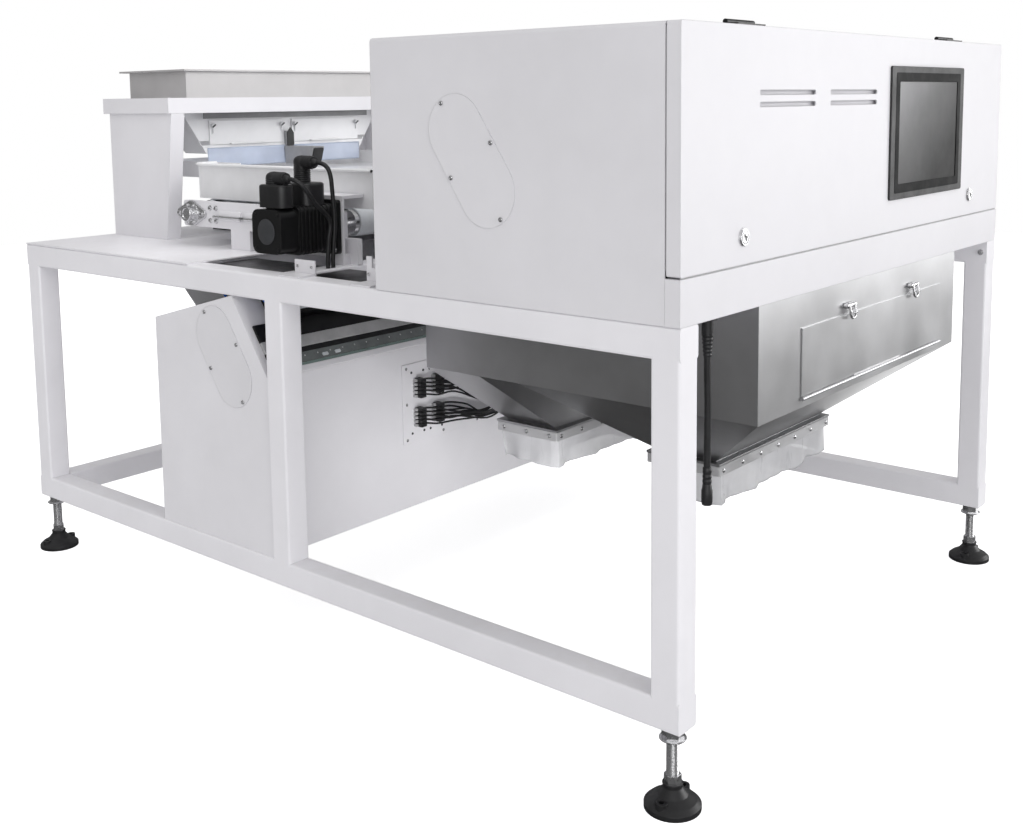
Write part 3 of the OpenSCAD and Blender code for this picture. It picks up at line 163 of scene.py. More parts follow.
def around(steps):
    """Angles of equal steps round a circle."""
    return np.linspace(0, 2 * np.pi, steps, endpoint=False)


def circle(radius, steps):
    """Points of a circle, counter-clockwise: the radius times cosine and sine."""
    return radius * np.stack([np.cos(around(steps)), np.sin(around(steps))], -1)


def grid_faces(rows, columns, bands):
    """Quads of a grid whose columns close on themselves: each band goes from a row to the next."""
    r, c = np.meshgrid(np.arange(bands), np.arange(columns), indexing="ij")
    low, high, on = r * columns, (r + 1) % rows * columns, (c + 1) % columns
    return np.stack([low + c, low + on, high + on, high + c], -1).reshape(-1, 4).tolist()


def tube_surface(rings):
    """A closed skin over rings: quads from ring to ring, and a flat cap on the first and last."""
    rows, columns, _ = rings.shape
    rim = np.arange(columns)
    caps = [rim[::-1].tolist(), (rim + (rows - 1) * columns).tolist()]
    return rings.reshape(-1, 3), grid_faces(rows, columns, rows - 1) + caps


def looped(rings):
    """A closed ring-shaped skin: quads from loop to loop, and from the last back to the first."""
    rows, columns, _ = rings.shape
    return rings.reshape(-1, 3), grid_faces(rows, columns, rows)


def spun(radius, height):
    """A skin round Z: each row holds one radius for each step of the turn, at its own height."""
    a = around(radius.shape[1])
    z = np.broadcast_to(height, radius.shape)
    return tube_surface(np.stack([radius * np.cos(a), radius * np.sin(a), z], -1))


def turned(profile, steps):
    """A turned shape: each pair of the profile is a radius, which sweeps round Z, and a height."""
    p = np.asarray(profile, float)
    return spun(np.repeat(p[:, :1], steps, 1), p[:, 1:])


def hexagonal(profile, steps):
    """As turned, but a hexagon whose flats lie at the row's third value cuts the radius off."""
    p = np.asarray(profile, float)
    flat = 1 / np.cos((around(steps) + np.pi / 6) % (np.pi / 3) - np.pi / 6)
    return spun(np.minimum(p[:, :1], p[:, 2:] * flat), p[:, 1:2])


def carried(profile, path, up=(0, 0, 1)):
    """A closed profile carried along a path: its first value goes sideways, its second to up."""
    path, profile = np.asarray(path, float), np.asarray(profile, float)
    along = unit(np.gradient(path, axis=0))
    side = unit(np.cross(along, np.asarray(up, float)))
    over = np.cross(side, along)
    return tube_surface(
        path[:, None] + profile[:, :1] * side[:, None] + profile[:, 1:] * over[:, None])


def rounded(width, height, radius, steps=6):
    """Outline of a rounded rectangle about the origin: four quarter circles at its corners."""
    turn = np.arange(4)[:, None] * np.pi / 2 + np.linspace(0, np.pi / 2, steps)
    sx, sy = np.array([[1], [-1], [-1], [1]]), np.array([[1], [1], [-1], [-1]])
    x = sx * (width / 2 - radius) + radius * np.cos(turn)
    y = sy * (height / 2 - radius) + radius * np.sin(turn)
    return np.stack([x.ravel(), y.ravel()], -1)


def crowned_plate(outline, height, edge):
    """A flat plate with a rounded rim: a quarter circle of radius edge draws its top in."""
    t = np.linspace(0, np.pi / 2, 5)
    reach = np.linalg.norm(outline, axis=1).max()
    shrink = np.concatenate([[1], 1 - edge * (1 - np.cos(t)) / reach])
    z = np.concatenate([[0], height - edge + edge * np.sin(t)])
    return tube_surface(np.stack([points(*(outline * s).T, h) for s, h in zip(shrink, z)]))


def slab(width, depth, radius, height, edge, steps=4):
    """A crowned plate over a rounded rectangle."""
    return crowned_plate(rounded(width, depth, radius, steps), height, edge)


def smooth_route(route, steps):
    """A curve through points: cubics whose slope at a point is half its neighbours' chord."""
    p = np.asarray(route, float)
    q = np.concatenate([p[:1], p, p[-1:]])
    t = np.linspace(0, 1, steps, endpoint=False)[None, :, None]
    a, b, c, d = (q[i:len(q) - 3 + i, None] for i in range(4))
    square, cube = 2 * a - 5 * b + 4 * c - d, 3 * b - a - 3 * c + d
    curve = 0.5 * (2 * b + (c - a) * t + square * t ** 2 + cube * t ** 3)
    return np.concatenate([curve.reshape(-1, 3), p[-1:]])


def lower_slope(s, n):
    """Y and Z on the lower housing's front slope: s up along it from the bend, n out from it."""
    return LOWER_BEND + np.multiply.outer(s, UP_SLOPE) - np.multiply.outer(n, IN_SLOPE)


def slope_strip(start, end, height):
    """A strip across the lower slope: a bevelled bar's section carried along X."""
    half, edge = 0.766, 0.0008
    y, z = lower_slope([start, end, end, end - edge, start + edge, start],
                       [0, 0, height - edge, height, height, height - edge]).T
    return tube_surface(np.stack([points(x, y, z) for x in (-half, half)]))


def facing(axis, roll):
    """The turn that brings Z to the axis, after a roll about Z."""
    z = unit(np.asarray(axis, float))
    helper = (0.0, 0.0, 1.0) if abs(z[2]) < 0.9 else (1.0, 0.0, 0.0)
    x = unit(np.cross(helper, z))
    y = np.cross(z, x)
    c, s = math.cos(roll), math.sin(roll)
    return np.stack([x * c + y * s, y * c - x * s, z], 1)


def placed(shape, places, axis=(0, 0, 1), roll=0.0):
    """One shape at many places: the turned vertices plus each place, with the faces counted on."""
    v, f = shape
    places = np.atleast_2d(np.asarray(places, float))
    many = (places[:, None] + v @ facing(axis, roll).T).reshape(-1, 3)
    return many, [[i + k * len(v) for i in face] for k in range(len(places)) for face in f]


def joined(*shapes):
    """Several shapes as one list of vertices and faces."""
    starts = np.cumsum([0] + [len(v) for v, _ in shapes])
    faces = [[i + int(s) for i in face] for s, (_, f) in zip(starts, shapes) for face in f]
    return np.concatenate([v for v, _ in shapes]), faces


def make(name, shape, look, body="base", replaces=(), crease=38):
    """A mesh object of the shape, riding on a body, with the named finish as its material."""
    v, f = shape
    mesh = bpy.data.meshes.new(name)
    mesh.from_pydata(np.asarray(v, float).tolist(), [], f)
    mesh.validate()
    mesh.shade_smooth()
    mesh.set_sharp_from_angle(angle=math.radians(crease))
    mesh.materials.append(finish(look))
    obj = bpy.data.objects.new(name, mesh)
    bpy.context.scene.collection.objects.link(obj)
    if replaces:
        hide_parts(*replaces)
    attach(obj, body)
    return obj


def aimed(name, data, place, back, roll=0.0):
    """A camera or lamp at a place, looking away from the direction back."""
    obj = bpy.data.objects.new(name, data)
    bpy.context.scene.collection.objects.link(obj)
    turn = Matrix(facing(back, roll).tolist()).to_4x4()
    turn.translation = place
    obj.matrix_world = turn
    return obj


# Fasteners

def button_head(r):
    """A domed screw head with a sunk socket: rim, dome, socket wall and socket floor."""
    profile = [(1, 0), (1, 0.16), (0.93, 0.36), (0.76, 0.52), (0.5, 0.6), (0.45, 0.58),
               (0.43, 0.3), (0.02, 0.28)]
    return turned(r * np.array(profile), 20)


def hex_bolt(r):
    """A washer with a chamfered hexagon head on it."""
    washer = [(1.5, 0), (1.5, 0.22), (1.44, 0.28), (0.3, 0.28)]
    head = [(2, 0.28, 1), (2, 0.95, 1), (1.08, 1.06, 1), (0.9, 1.1, 1), (0.05, 1.1, 1)]
    return joined(turned(r * np.array(washer), 24), hexagonal(r * np.array(head), 36))


# Shader nodes

def fill(tree, n, sockets):
    """Give a node's sockets what they take: a plain value, or another node's output as a link."""
    for key, value in sockets.items():
        if isinstance(value, NodeSocket):
            tree.links.new(value, n.inputs[key])
        else:
            n.inputs[key].default_value = value
    return n


def node(tree, kind, sockets=None, **fields):
    """A node with its fields set and its sockets filled."""
    n = tree.nodes.new("ShaderNode" + kind)
    for key, value in fields.items():
        setattr(n, key, value)
    return fill(tree, n, sockets or {})


def arithmetic(tree, operation, *values):
    """A sum or product of values."""
    return node(tree, "Math", dict(enumerate(values)), operation=operation).outputs[0]


def span(tree, value, low, high, start=0.0, end=1.0):
    """A value brought from one range to another."""
    sockets = {"Value": value, "From Min": start, "From Max": end, "To Min": low, "To Max": high}
    return node(tree, "MapRange", sockets).outputs[0]


def noise(tree, at, scale, detail, rough):
    """Noise at a place."""
    sockets = {"Vector": at, "Scale": scale, "Detail": detail, "Roughness": rough}
    return node(tree, "TexNoise", sockets).outputs["Fac"]


def blend(tree, low, high, mask):
    """A colour between two, by a mask. Each of the two is a colour or a link to one."""
    ends = [c if isinstance(c, NodeSocket) else (*np.minimum(c, 1), 1) for c in (low, high)]
    return node(tree, "Mix", {0: mask, 6: ends[0], 7: ends[1]}, data_type="RGBA").outputs[2]


def bump(tree, strength, distance, **links):
    """A bumped normal, from a height and the normal below it."""
    return node(tree, "Bump", {"Strength": strength, "Distance": distance, **links}).outputs[0]


def object_place(tree):
    """The place in the object's own coordinates."""
    return node(tree, "TexCoord").outputs["Object"]


# Shader node groups

def paint_skin(tree, given):
    """Powder paint: fine peel for the bump, broad blotches, and dust on faces that look up."""
    at = object_place(tree)
    look = node(tree, "SeparateXYZ", {0: node(tree, "NewGeometry").outputs["Normal"]})
    up = span(tree, look.outputs["Z"], 0, 1, 0.55, 1.0)
    film = span(tree, noise(tree, at, 26.0, 6.0, 0.7), 0, 1, 0.42, 0.75)
    return {"Peel": noise(tree, at, given["Peel scale"], 2.0, 0.4),
            "Blotch": noise(tree, at, 3.2, 5.0, 0.6),
            "Dust": arithmetic(tree, "MULTIPLY", up, film)}


def worn_edge(tree, given):
    """Worn edges: the angle between the face and its rounded normal, broken up by noise."""
    soft = node(tree, "Bevel", {"Radius": given["Radius"]}, samples=4).outputs["Normal"]
    pair = {0: soft, 1: node(tree, "NewGeometry").outputs["Normal"]}
    same = node(tree, "VectorMath", pair, operation="DOT_PRODUCT").outputs["Value"]
    edge = span(tree, same, 0, 1, 0.995, 0.86)
    worn = arithmetic(tree, "MULTIPLY", edge, noise(tree, object_place(tree), 60.0, 5.0, 0.5))
    return {"Mask": arithmetic(tree, "MULTIPLY", worn, given["Amount"]), "Normal": soft}


def brushed_grain(tree, given):
    """Brushed metal: noise drawn out along the grain for scratches, slow clouds for handling."""
    at = object_place(tree)
    drawn = node(tree, "VectorMath", {0: at, 1: given["Stretch"]}, operation="MULTIPLY").outputs[0]
    return {"Scratch": noise(tree, drawn, 1.0, 6.0, 0.65), "Cloud": noise(tree, at, 5.0, 4.0, 0.55)}


def moulded_grain(tree, given):
    """Moulded or cast surface: a fine pebble grain for the bump, and a rubbed-smooth mask."""
    at = object_place(tree)
    pebbles = {"Vector": at, "Scale": given["Grain scale"], "Randomness": 1.0}
    return {"Grain": node(tree, "TexVoronoi", pebbles).outputs["Distance"],
            "Rub": noise(tree, at, 18.0, 5.0, 0.65)}


GROUPS = {
    "Paint skin": (paint_skin, {"Peel scale": 700.0}),
    "Worn edge": (worn_edge, {"Radius": 0.002, "Amount": 0.5}),
    "Brushed grain": (brushed_grain, {"Stretch": (6.0, 6.0, 420.0)}),
    "Moulded grain": (moulded_grain, {"Grain scale": 900.0}),
}


def group_tree(name):
    """A node group by its name, built on its first use."""
    if name in bpy.data.node_groups:
        return bpy.data.node_groups[name]
    build, inputs = GROUPS[name]
    tree = bpy.data.node_groups.new(name, "ShaderNodeTree")

    def add_socket(label, side, vector):
        kind = "NodeSocketVector" if vector else "NodeSocketFloat"
        return tree.interface.new_socket(label, in_out=side, socket_type=kind)

    for label, value in inputs.items():
        add_socket(label, "INPUT", isinstance(value, tuple)).default_value = value
    results = build(tree, tree.nodes.new("NodeGroupInput").outputs)
    for label, socket in results.items():
        add_socket(label, "OUTPUT", socket.type == "VECTOR")
    fill(tree, tree.nodes.new("NodeGroupOutput"), results)
    return tree


def effect(tree, name, **values):
    """Outputs of a node group that is placed in a material with its own values."""
    sockets = {key.replace("_", " "): value for key, value in values.items()}
    return node(tree, "Group", sockets, node_tree=group_tree(name)).outputs


# Materials: each maker gives what the Principled shader's sockets take

def paint(t, tint, rough):
    """White powder paint: slight blotches, dust on upper faces, rounded and rubbed edges."""
    skin = effect(t, "Paint skin", Peel_scale=620.0)
    edge = effect(t, "Worn edge", Radius=0.0022, Amount=0.55)
    base = blend(t, tint * 0.965, tint * 1.02, span(t, skin["Blotch"], 0, 1, 0.35, 0.65))
    dusty = blend(t, base, tint * (0.93, 0.92, 0.9), span(t, skin["Dust"], 0, 0.55))
    return {"Base Color": blend(t, dusty, tint * 0.72, edge["Mask"]),
            "Roughness": span(t, skin["Blotch"], rough - 0.05, rough + 0.1, 0.3, 0.7),
            "Normal": bump(t, 0.1, 0.0004, Height=skin["Peel"], Normal=edge["Normal"]),
            "Specular IOR Level": 0.22}


def metal(t, tint, rough, share=1.0, stretch=(30.0, 30.0, 900.0), spread=0.04, scratch=0.02):
    """Bare metal with drawn-out scratches, cloudy handling marks and brighter edges."""
    grain = effect(t, "Brushed grain", Stretch=stretch)
    edge = effect(t, "Worn edge", Radius=0.0012, Amount=0.8)
    base = blend(t, tint * 0.88, tint * 1.06, span(t, grain["Cloud"], 0, 1, 0.3, 0.7))
    both = arithmetic(t, "ADD", grain["Scratch"], grain["Cloud"])
    return {"Base Color": blend(t, base, tint * 1.3, edge["Mask"]),
            "Roughness": span(t, both, rough - spread, rough + spread, 0.75, 1.25),
            "Normal": bump(t, scratch, 0.0003, Height=grain["Scratch"], Normal=edge["Normal"]),
            "Metallic": share}


def moulded(t, tint, rough, grain_scale, rub=1.8, relief=0.12, gloss=0.5):
    """Moulded plastic, rubber or coated castings: pebble grain, rubbed patches, paler edges."""
    grain = effect(t, "Moulded grain", Grain_scale=grain_scale)
    edge = effect(t, "Worn edge", Radius=0.0015, Amount=0.7)
    base = blend(t, tint * 0.85, tint * rub, span(t, grain["Rub"], 0, 1, 0.4, 0.8))
    return {"Base Color": blend(t, base, tint * 2.6 + 0.01, edge["Mask"]),
            "Roughness": span(t, grain["Rub"], rough + 0.08, rough - 0.1, 0.3, 0.8),
            "Normal": bump(t, relief, 0.0003, Height=grain["Grain"], Normal=edge["Normal"]),
            "Specular IOR Level": gloss}


def clear_sheet(t, tint, cover):
    """Soft translucent sheet: cloudy cover, fine drawing lines and a satin gloss."""
    grain = effect(t, "Brushed grain", Stretch=(50.0, 50.0, 9.0))
    cloud, scratch = grain["Cloud"], grain["Scratch"]
    return {"Base Color": blend(t, tint * 0.93, tint * 1.05, span(t, cloud, 0, 1, 0.3, 0.7)),
            "Alpha": span(t, cloud, cover - 0.1, cover + 0.14, 0.3, 0.7),
            "Roughness": span(t, scratch, 0.24, 0.42, 0.3, 0.7),
            "Normal": bump(t, 0.15, 0.0006, Height=scratch)}


def dark_glass(t, tint, rough):
    """Dark glass with a faint smear of fingers in its gloss."""
    rub = effect(t, "Moulded grain", Grain_scale=60.0)["Rub"]
    return {"Base Color": blend(t, tint, tint * 1.7 + 0.002, span(t, rub, 0, 1, 0.3, 0.8)),
            "Roughness": span(t, rub, rough, rough + 0.07, 0.35, 0.75),
            "Specular IOR Level": 0.7}


def painted_reflection_display(t, tint):
    """An idle screen under satin glass, with a painted reflection: a colour that falls off from
    upper left to lower right in place of the surroundings that the glass would reflect.
    """
    at = node(t, "SeparateXYZ", {0: object_place(t)}).outputs
    across = span(t, at["X"], 0.0, 0.62, SCREEN[0] - 0.18, SCREEN[0] + 0.18)
    down = span(t, at["Z"], 0.0, 0.62, SCREEN[2] + 0.12, SCREEN[2] - 0.12)
    rub = effect(t, "Moulded grain", Grain_scale=60.0)["Rub"]
    painted_reflection = arithmetic(t, "MULTIPLY_ADD", rub, 0.06, arithmetic(t, "ADD", across, down))
    # Ramp of the painted reflection: the bright tint at upper left, mid grey, black at lower right
    ramp = node(t, "ValToRGB", {0: painted_reflection})
    ramp.color_ramp.elements[0].color = (*tint, 1)
    ramp.color_ramp.elements[1].color = (0.012, 0.012, 0.012, 1)
    ramp.color_ramp.elements.new(0.5).color = (0.13, 0.13, 0.132, 1)
    return {"Base Color": ramp.outputs[0], "Roughness": span(t, rub, 0.42, 0.5, 0.35, 0.75),
            "Specular IOR Level": 0.08}


def pale_floor(t, tint):
    """The floor: white to the camera, and dimmer in what metal reflects."""
    path = node(t, "LightPath").outputs
    blotch = effect(t, "Paint skin", Peel_scale=40.0)["Blotch"]
    tone = blend(t, tint, (0.94, 0.94, 0.945), blotch)
    return {"Base Color": blend(t, tone, (0.14, 0.14, 0.14), path["Is Glossy Ray"]),
            "Emission Strength": span(t, path["Is Camera Ray"], 0.0, 0.7),
            "Emission Color": (1, 1, 1, 1), "Roughness": 0.9, "Specular IOR Level": 0.1}


def material(name, maker, tint, *values):
    """A material whose Principled shader takes what the maker gives."""
    m = bpy.data.materials.new(name)
    m.use_nodes = True
    shader = m.node_tree.nodes["Principled BSDF"]
    fill(m.node_tree, shader, maker(m.node_tree, np.array(tint), *values))
    return m


FINISHES = {}


def finish(name):
    """A finish by its name, made on its first use from the settings' colours."""
    if name in FINISHES:
        return FINISHES[name]
    look = bpy.context.scene.sorter_finish
    white, steel, black = np.array(look.paint), np.array(look.steel), np.array(look.black)
    rows = {
        # The frame's white is set lighter than the other whites as painted light, to lift its
        # shaded side faces
        "frame_paint": ("Frame paint", paint, white * 1.07, 0.38),
        "cabinet_paint": ("Cabinet paint", paint, white * 0.95, 0.38),
        "feed_paint": ("Feed paint", paint, white * 0.98, 0.36),
        "lower_paint": ("Lower housing paint", paint, white, 0.35),
        "stainless": ("Stainless sheet", metal, steel, 0.36),
        # Satin stainless is a lighter copy of the stainless: painted light on the hopper funnel and
        # gates
        "satin_steel": ("Satin stainless", metal, steel * 1.4, 0.5, 0.25),
        # The funnels' stainless is a darker copy: painted shade, for the dark that the funnels
        # reflect
        "funnel_steel": ("Funnel sheet, darkened as painted shade", metal, steel * 0.82, 0.36),
        "band_steel": ("Band strip", metal, steel * 0.95, 0.42, 0.45, (60.0,) * 3, 0.12, 0.04),
        "collar_steel": ("Collar sheet", metal, steel * (0.88, 0.86, 0.85), 0.5, 0.2),
        # The feed sheet's stainless is lightened and made nearly matt: painted light on the tray
        # and guards, where their reflections come out dark
        "feed_steel": ("Feed sheet, lightened as painted light", metal, steel * 1.6, 0.34, 0.12),
        "bright_steel": (
            "Zinc plated steel", metal, steel * 1.2, 0.26, 1.0, (90.0,) * 3, 0.06, 0.03),
        "roller_steel": ("Turned steel", metal, steel * 1.2, 0.25, 1.0, (900.0, 20.0, 20.0)),
        "black_plastic": ("Black moulding", moulded, black * 1.3, 0.42, 1100.0),
        "black_metal": ("Black coating", moulded, black * 0.7, 0.36, 1600.0, 1.5, 0.08, 0.35),
        "dark_metal": ("Dark grey coating", moulded, (0.045, 0.047, 0.052), 0.42, 1500.0, 1.25),
        "sensor_grey": ("Grey coating", moulded, (0.27, 0.27, 0.275), 0.4, 1500.0, 1.12),
        "bezel_plastic": (
            "Bezel moulding", moulded, (0.04, 0.04, 0.041), 0.45, 1500.0, 1.3, 0.12, 0.2),
        # The screen's tint is the bright upper left of its painted reflection
        "screen": ("Display glass, painted reflection", painted_reflection_display, (0.36, 0.36, 0.37)),
        "window_glass": ("Optical glass", dark_glass, (0.012, 0.014, 0.015), 0.06),
        "belt_rubber": ("Food belt", moulded, (0.62, 0.64, 0.67), 0.5, 420.0, 1.05, 0.3),
        "clear_plastic": ("Clear skirt", clear_sheet, look.plastic, 0.74),
        "curtain_plastic": ("Curtain strip", clear_sheet, (0.62, 0.69, 0.84), 0.78),
        "black_cable": ("Cable sheath", moulded, black * 1.2, 0.46, 700.0),
        "blue_tube": ("Blue tube", moulded, look.tube, 0.28, 500.0, 1.15, 0.04),
        "sensor_pale": ("Sensor housing", moulded, (0.36, 0.36, 0.37), 0.42, 1500.0, 1.12),
        "seal": ("Pale seal", moulded, (0.5, 0.5, 0.51), 0.6, 700.0, 1.05),
        "lamp_glass": ("Lamp glass", dark_glass, (0.1, 0.112, 0.11), 0.14),
        "cover_grey": ("Pale grey coating", moulded, (0.46, 0.46, 0.465), 0.42, 1500.0, 1.12),
        "lens": ("Lamp lens", moulded, (0.72, 0.75, 0.78), 0.3, 300.0, 1.05, 0.2),
        "glass_edge": ("Glass edge", moulded, (0.2, 0.27, 0.25), 0.3, 300.0, 1.1),
        "mask": ("Screen border", moulded, (0.005, 0.005, 0.0055), 0.5, 1500.0, 1.2, 0.02, 0.06),
    }
    FINISHES[name] = material(*rows[name])
    return FINISHES[name]


# Operators

class SORTER_OT_stage(Operator):
    """Set the camera at the photograph's angle, with a pale floor and soft studio light"""

    bl_idname = "sorter.stage"
    bl_label = "Stage"

    def add_camera(self, scene):
        """The camera looks against a direction that yaw turns round Z and pitch lifts."""
        lens = bpy.data.cameras.new("Camera")
        lens.sensor_fit, lens.sensor_width = "HORIZONTAL", SENSOR_WIDTH
        lens.lens = FOCAL * SENSOR_WIDTH / PICTURE_WIDTH
        lens.shift_y = PICTURE_SHIFT / PICTURE_WIDTH
        lens.clip_start, lens.clip_end = 0.05, 200.0
        back = (math.sin(YAW) * math.cos(PITCH), -math.cos(YAW) * math.cos(PITCH), math.sin(PITCH))
        scene.camera = aimed("Camera", lens, EYE, back, ROLL)

    def add_floor(self, scene):
        """The floor is a flat disc of rings round the origin."""
        v, f = turned([(r, 0) for r in np.linspace(0.02, 9.0, 12)], 96)
        mesh = bpy.data.meshes.new("Floor")
        mesh.from_pydata(v.tolist(), [], f[:-1])
        mesh.materials.append(material("Pale floor", pale_floor, (0.9, 0.9, 0.91)))
        floor = bpy.data.objects.new("Floor", mesh)
        scene.collection.objects.link(floor)

    def add_world(self, scene, light):
        """The surroundings' strength rises with height, and is another in metal and to the eye."""
        scene.world = bpy.data.worlds.new("Studio")
        scene.world.use_nodes = True
        tree = scene.world.node_tree
        path = node(tree, "LightPath").outputs
        at = node(tree, "SeparateXYZ", {0: node(tree, "TexCoord").outputs["Generated"]})
        height = at.outputs["Z"]
        strength = span(tree, height, 0.85 * light.sky, 1.15 * light.sky, -0.1, 1.0)
        glossy = span(tree, height, light.dark, 2.5 * light.dark, 0.0, 1.0)
        for ray, value in (("Is Glossy Ray", glossy), ("Is Camera Ray", 1.0)):
            strength = node(tree, "Mix", {0: path[ray], 2: strength, 3: value}).outputs[0]
        fill(tree, tree.nodes["Background"], {"Color": (1, 1, 1, 1), "Strength": strength})

    def add_lights(self, light):
        """Area lights: strips show only in reflections, key and fill only on matt faces."""
        strip, large, small = light.strip, (7.0, 5.0), (0.25, 0.25)
        below = (1.6, -0.6, 0.02)
        for name, power, size, spread, place, aim in (
                ("Key", light.key, (4.0, 5.0), 180, (-2.6, -10.5, 2.7), (0.1, -0.8, 0.8)),
                ("Fill", light.fill, small, 75, (-0.6, -0.8, 0.22), (-0.1, 0.03, 0.42)),
                ("Feed", light.feed, (1.2, 0.5), 110, (-0.4, -0.12, 1.8), (-0.2, 0.7, 1.08)),
                ("Right strip", strip, large, 180, (5.5, -6.0, 1.6), (0.2, -1.0, 0.9)),
                ("Left strip", 0.6 * strip, large, 180, (-7.0, -6.0, 2.0), (-0.2, -1.0, 0.9)),
                ("Floor strip", 0.016 * strip, (1.3, 1.3), 180, below, (1.6, -0.6, 1.0))):
            lamp = bpy.data.lights.new(name, "AREA")
            lamp.shape, lamp.energy, lamp.spread = "RECTANGLE", power, math.radians(spread)
            lamp.size, lamp.size_y = size
            obj = aimed(name, lamp, place, np.subtract(place, aim))
            obj.visible_diffuse = "strip" not in name
            obj.visible_glossy = name not in ("Key", "Fill")
            obj.visible_camera = False

    def execute(self, context):
        scene, light = context.scene, context.scene.sorter_stage
        self.add_camera(scene)
        self.add_floor(scene)
        self.add_world(scene, light)
        self.add_lights(light)
        scene.view_settings.view_transform = "Standard"
        return {"FINISHED"}


class SORTER_OT_lead(Operator):
    """Make the hanging lead with its strain relief and connector"""

    bl_idname = "sorter.lead"
    bl_label = "Hanging lead"

    def execute(self, context):
        d, drop = context.scene.sorter_sizes.lead_diameter, LEAD_LENGTH
        steps = np.array([
            [0, 0, -0.00004], [0, 0, -0.08 * drop], [0, 0, -0.28 * drop],
            [0.001, -0.001, -0.56 * drop], [0, -0.001, -0.84 * drop], [0, -0.001, -0.92 * drop],
            [0, -0.001, -drop]])
        route = smooth_route(GLAND + steps, 4)
        sheath = carried(circle(d / 2, 20), route, up=(0, 1, 0))
        lead = make("power_lead_sheath", sheath, "black_cable", replaces=["power_lead"])
        relief_l, ribs, rib_h, end_r = 0.044, 6, 0.0006, d / 2 + 0.0002
        h = np.linspace(0, relief_l, 34)
        wave = rib_h * np.sin(h / relief_l * ribs * 2 * np.pi)
        r = np.concatenate([[end_r], d / 2 + 0.0042 - 0.0034 * h / relief_l + wave, [end_r]])
        z = np.concatenate([[0], -h, [-relief_l]])
        sleeve = turned(np.stack([r, z], 1)[::-1], 28)
        relief = make("lead_strain_relief", placed(sleeve, GLAND), "black_plastic")
        body = [(0.0068, 0.0), (0.0082, -0.002), (0.0085, -0.01), (0.0079, -0.012),
                (0.0079, -0.015), (0.0086, -0.016), (0.0086, -0.02), (0.0079, -0.021),
                (0.0079, -0.024), (0.0086, -0.025), (0.0086, -0.029), (0.0079, -0.03),
                (0.0079, -0.033), (0.0086, -0.034), (0.0092, -0.041), (0.0104, -0.044),
                (0.0104, -0.066), (0.0097, -0.068), (0.0097, -0.071), (0.0084, -0.072),
                (0.0078, -0.072), (0.0076, -0.064), (0.0005, -0.064)]
        plug = placed(turned(body[::-1], 32), GLAND + steps[-1])
        connector = make("lead_plug", plug, "black_plastic", replaces=["lead_connector"])
        return {"FINISHED"}


class SORTER_OT_finishes(Operator):
    """Give every solid of the frame its finish"""

    bl_idname = "sorter.finishes"
    bl_label = "Finishes"

    def execute(self, context):
        own = {"feeder_tray": "feed_steel", "side_guards": "feed_steel",
               "hopper_funnel": "satin_steel", "level_sensor": "sensor_pale",
               "hopper_collar": "collar_steel", "rear_funnel": "funnel_steel",
               "front_funnel": "funnel_steel"}
        for part in frame["record"]["subparts"]:
            slots = NODES[part["node"]].data.materials
            slots.clear()
            slots.append(finish(own.get(part["node"], part["material_slot"])))
        return {"FINISHED"}


class SORTER_OT_skirts(Operator):
    """Hang the clear skirts under both outlets and the curtain under the hopper"""

    bl_idname = "sorter.skirts"
    bl_label = "Skirts and curtain"

    def hung(self, outline, top, drop, wave):
        """A hung sheet: the outline goes down, and a sum of sines round it swings with depth."""
        rows = 14
        ahead, behind = np.roll(outline, -1, 0), np.roll(outline, 1, 0)
        out = unit((ahead - behind)[:, ::-1] * (1, -1))
        s = np.cumsum(np.linalg.norm(outline - behind, axis=1))
        t = np.linspace(0, 1, rows)[:, None]
        sines = np.sin(s * 31) + 0.6 * np.sin(s * 53 + 1.3) + 0.4 * np.sin(s * 97 + 0.4)
        xy = outline + (wave * t ** 1.6 * sines)[..., None] * out
        z = top - drop * t + 0.25 * wave * t * np.sin(s * 23 + 0.7)
        grid = np.concatenate([xy, z[..., None]], -1).reshape(-1, 3)
        return grid, [f[::-1] for f in grid_faces(rows, len(outline), rows - 1)]

    def add_sheet(self, name, shape, look, node_name, thickness, flat, holder):
        """A soft sheet with its thickness, in place of a node; its holder is not used."""
        sheet = make(name, shape, look, replaces=[node_name], crease=60)
        thick = sheet.modifiers.new("Sheet", "SOLIDIFY")
        thick.thickness, thick.offset = thickness, 0.0

    def execute(self, context):
        wave = context.scene.sorter_sizes.hem_wave
        lo, hi = box("skirts")
        w, d, h = hi[0] - lo[0] - 0.002, 0.18, hi[2] - lo[2]
        line = rounded(w, d, 0.008, 5)
        sides = [np.linspace(a, b, 26, endpoint=False)
                 for a, b in zip(line, np.roll(line, -1, 0)) if np.linalg.norm(b - a) > 0.02]
        for label, y in OUTLETS_Y.items():
            outline = np.concatenate(sides) + (0.0, y)
            shape = self.hung(outline, hi[2] - 0.0004, h - 0.003, wave)
            self.add_sheet(f"{label}_skirt", shape, "clear_plastic", "skirts", 0.0014,
                           (2 * (w + d), h), f"{label}_funnel")
        lo, hi = box("curtain")
        rows, columns = 10, 180
        x = np.linspace(lo[0], hi[0], columns)[None]
        t = np.linspace(0, 1, rows)[:, None]
        bulge = 0.4 + np.sin(x * 37) * 0.5 + 0.3 * np.sin(x * 91 + 1)
        y = (lo[1] + hi[1]) / 2 - 0.0035 * t ** 1.5 * bulge
        z = hi[2] - (hi[2] - lo[2]) * t
        grid = np.stack(np.broadcast_arrays(x, y, z), -1).reshape(-1, 3)
        r, c = np.meshgrid(np.arange(rows - 1), np.arange(columns - 1), indexing="ij")
        a = r * columns + c
        quads = np.stack([a, a + columns, a + columns + 1, a + 1], -1).reshape(-1, 4).tolist()
        self.add_sheet("curtain_strip", (grid, quads), "curtain_plastic", "curtain", 0.0012,
                       (hi[0] - lo[0], hi[2] - lo[2]), "hopper_funnel")
        return {"FINISHED"}


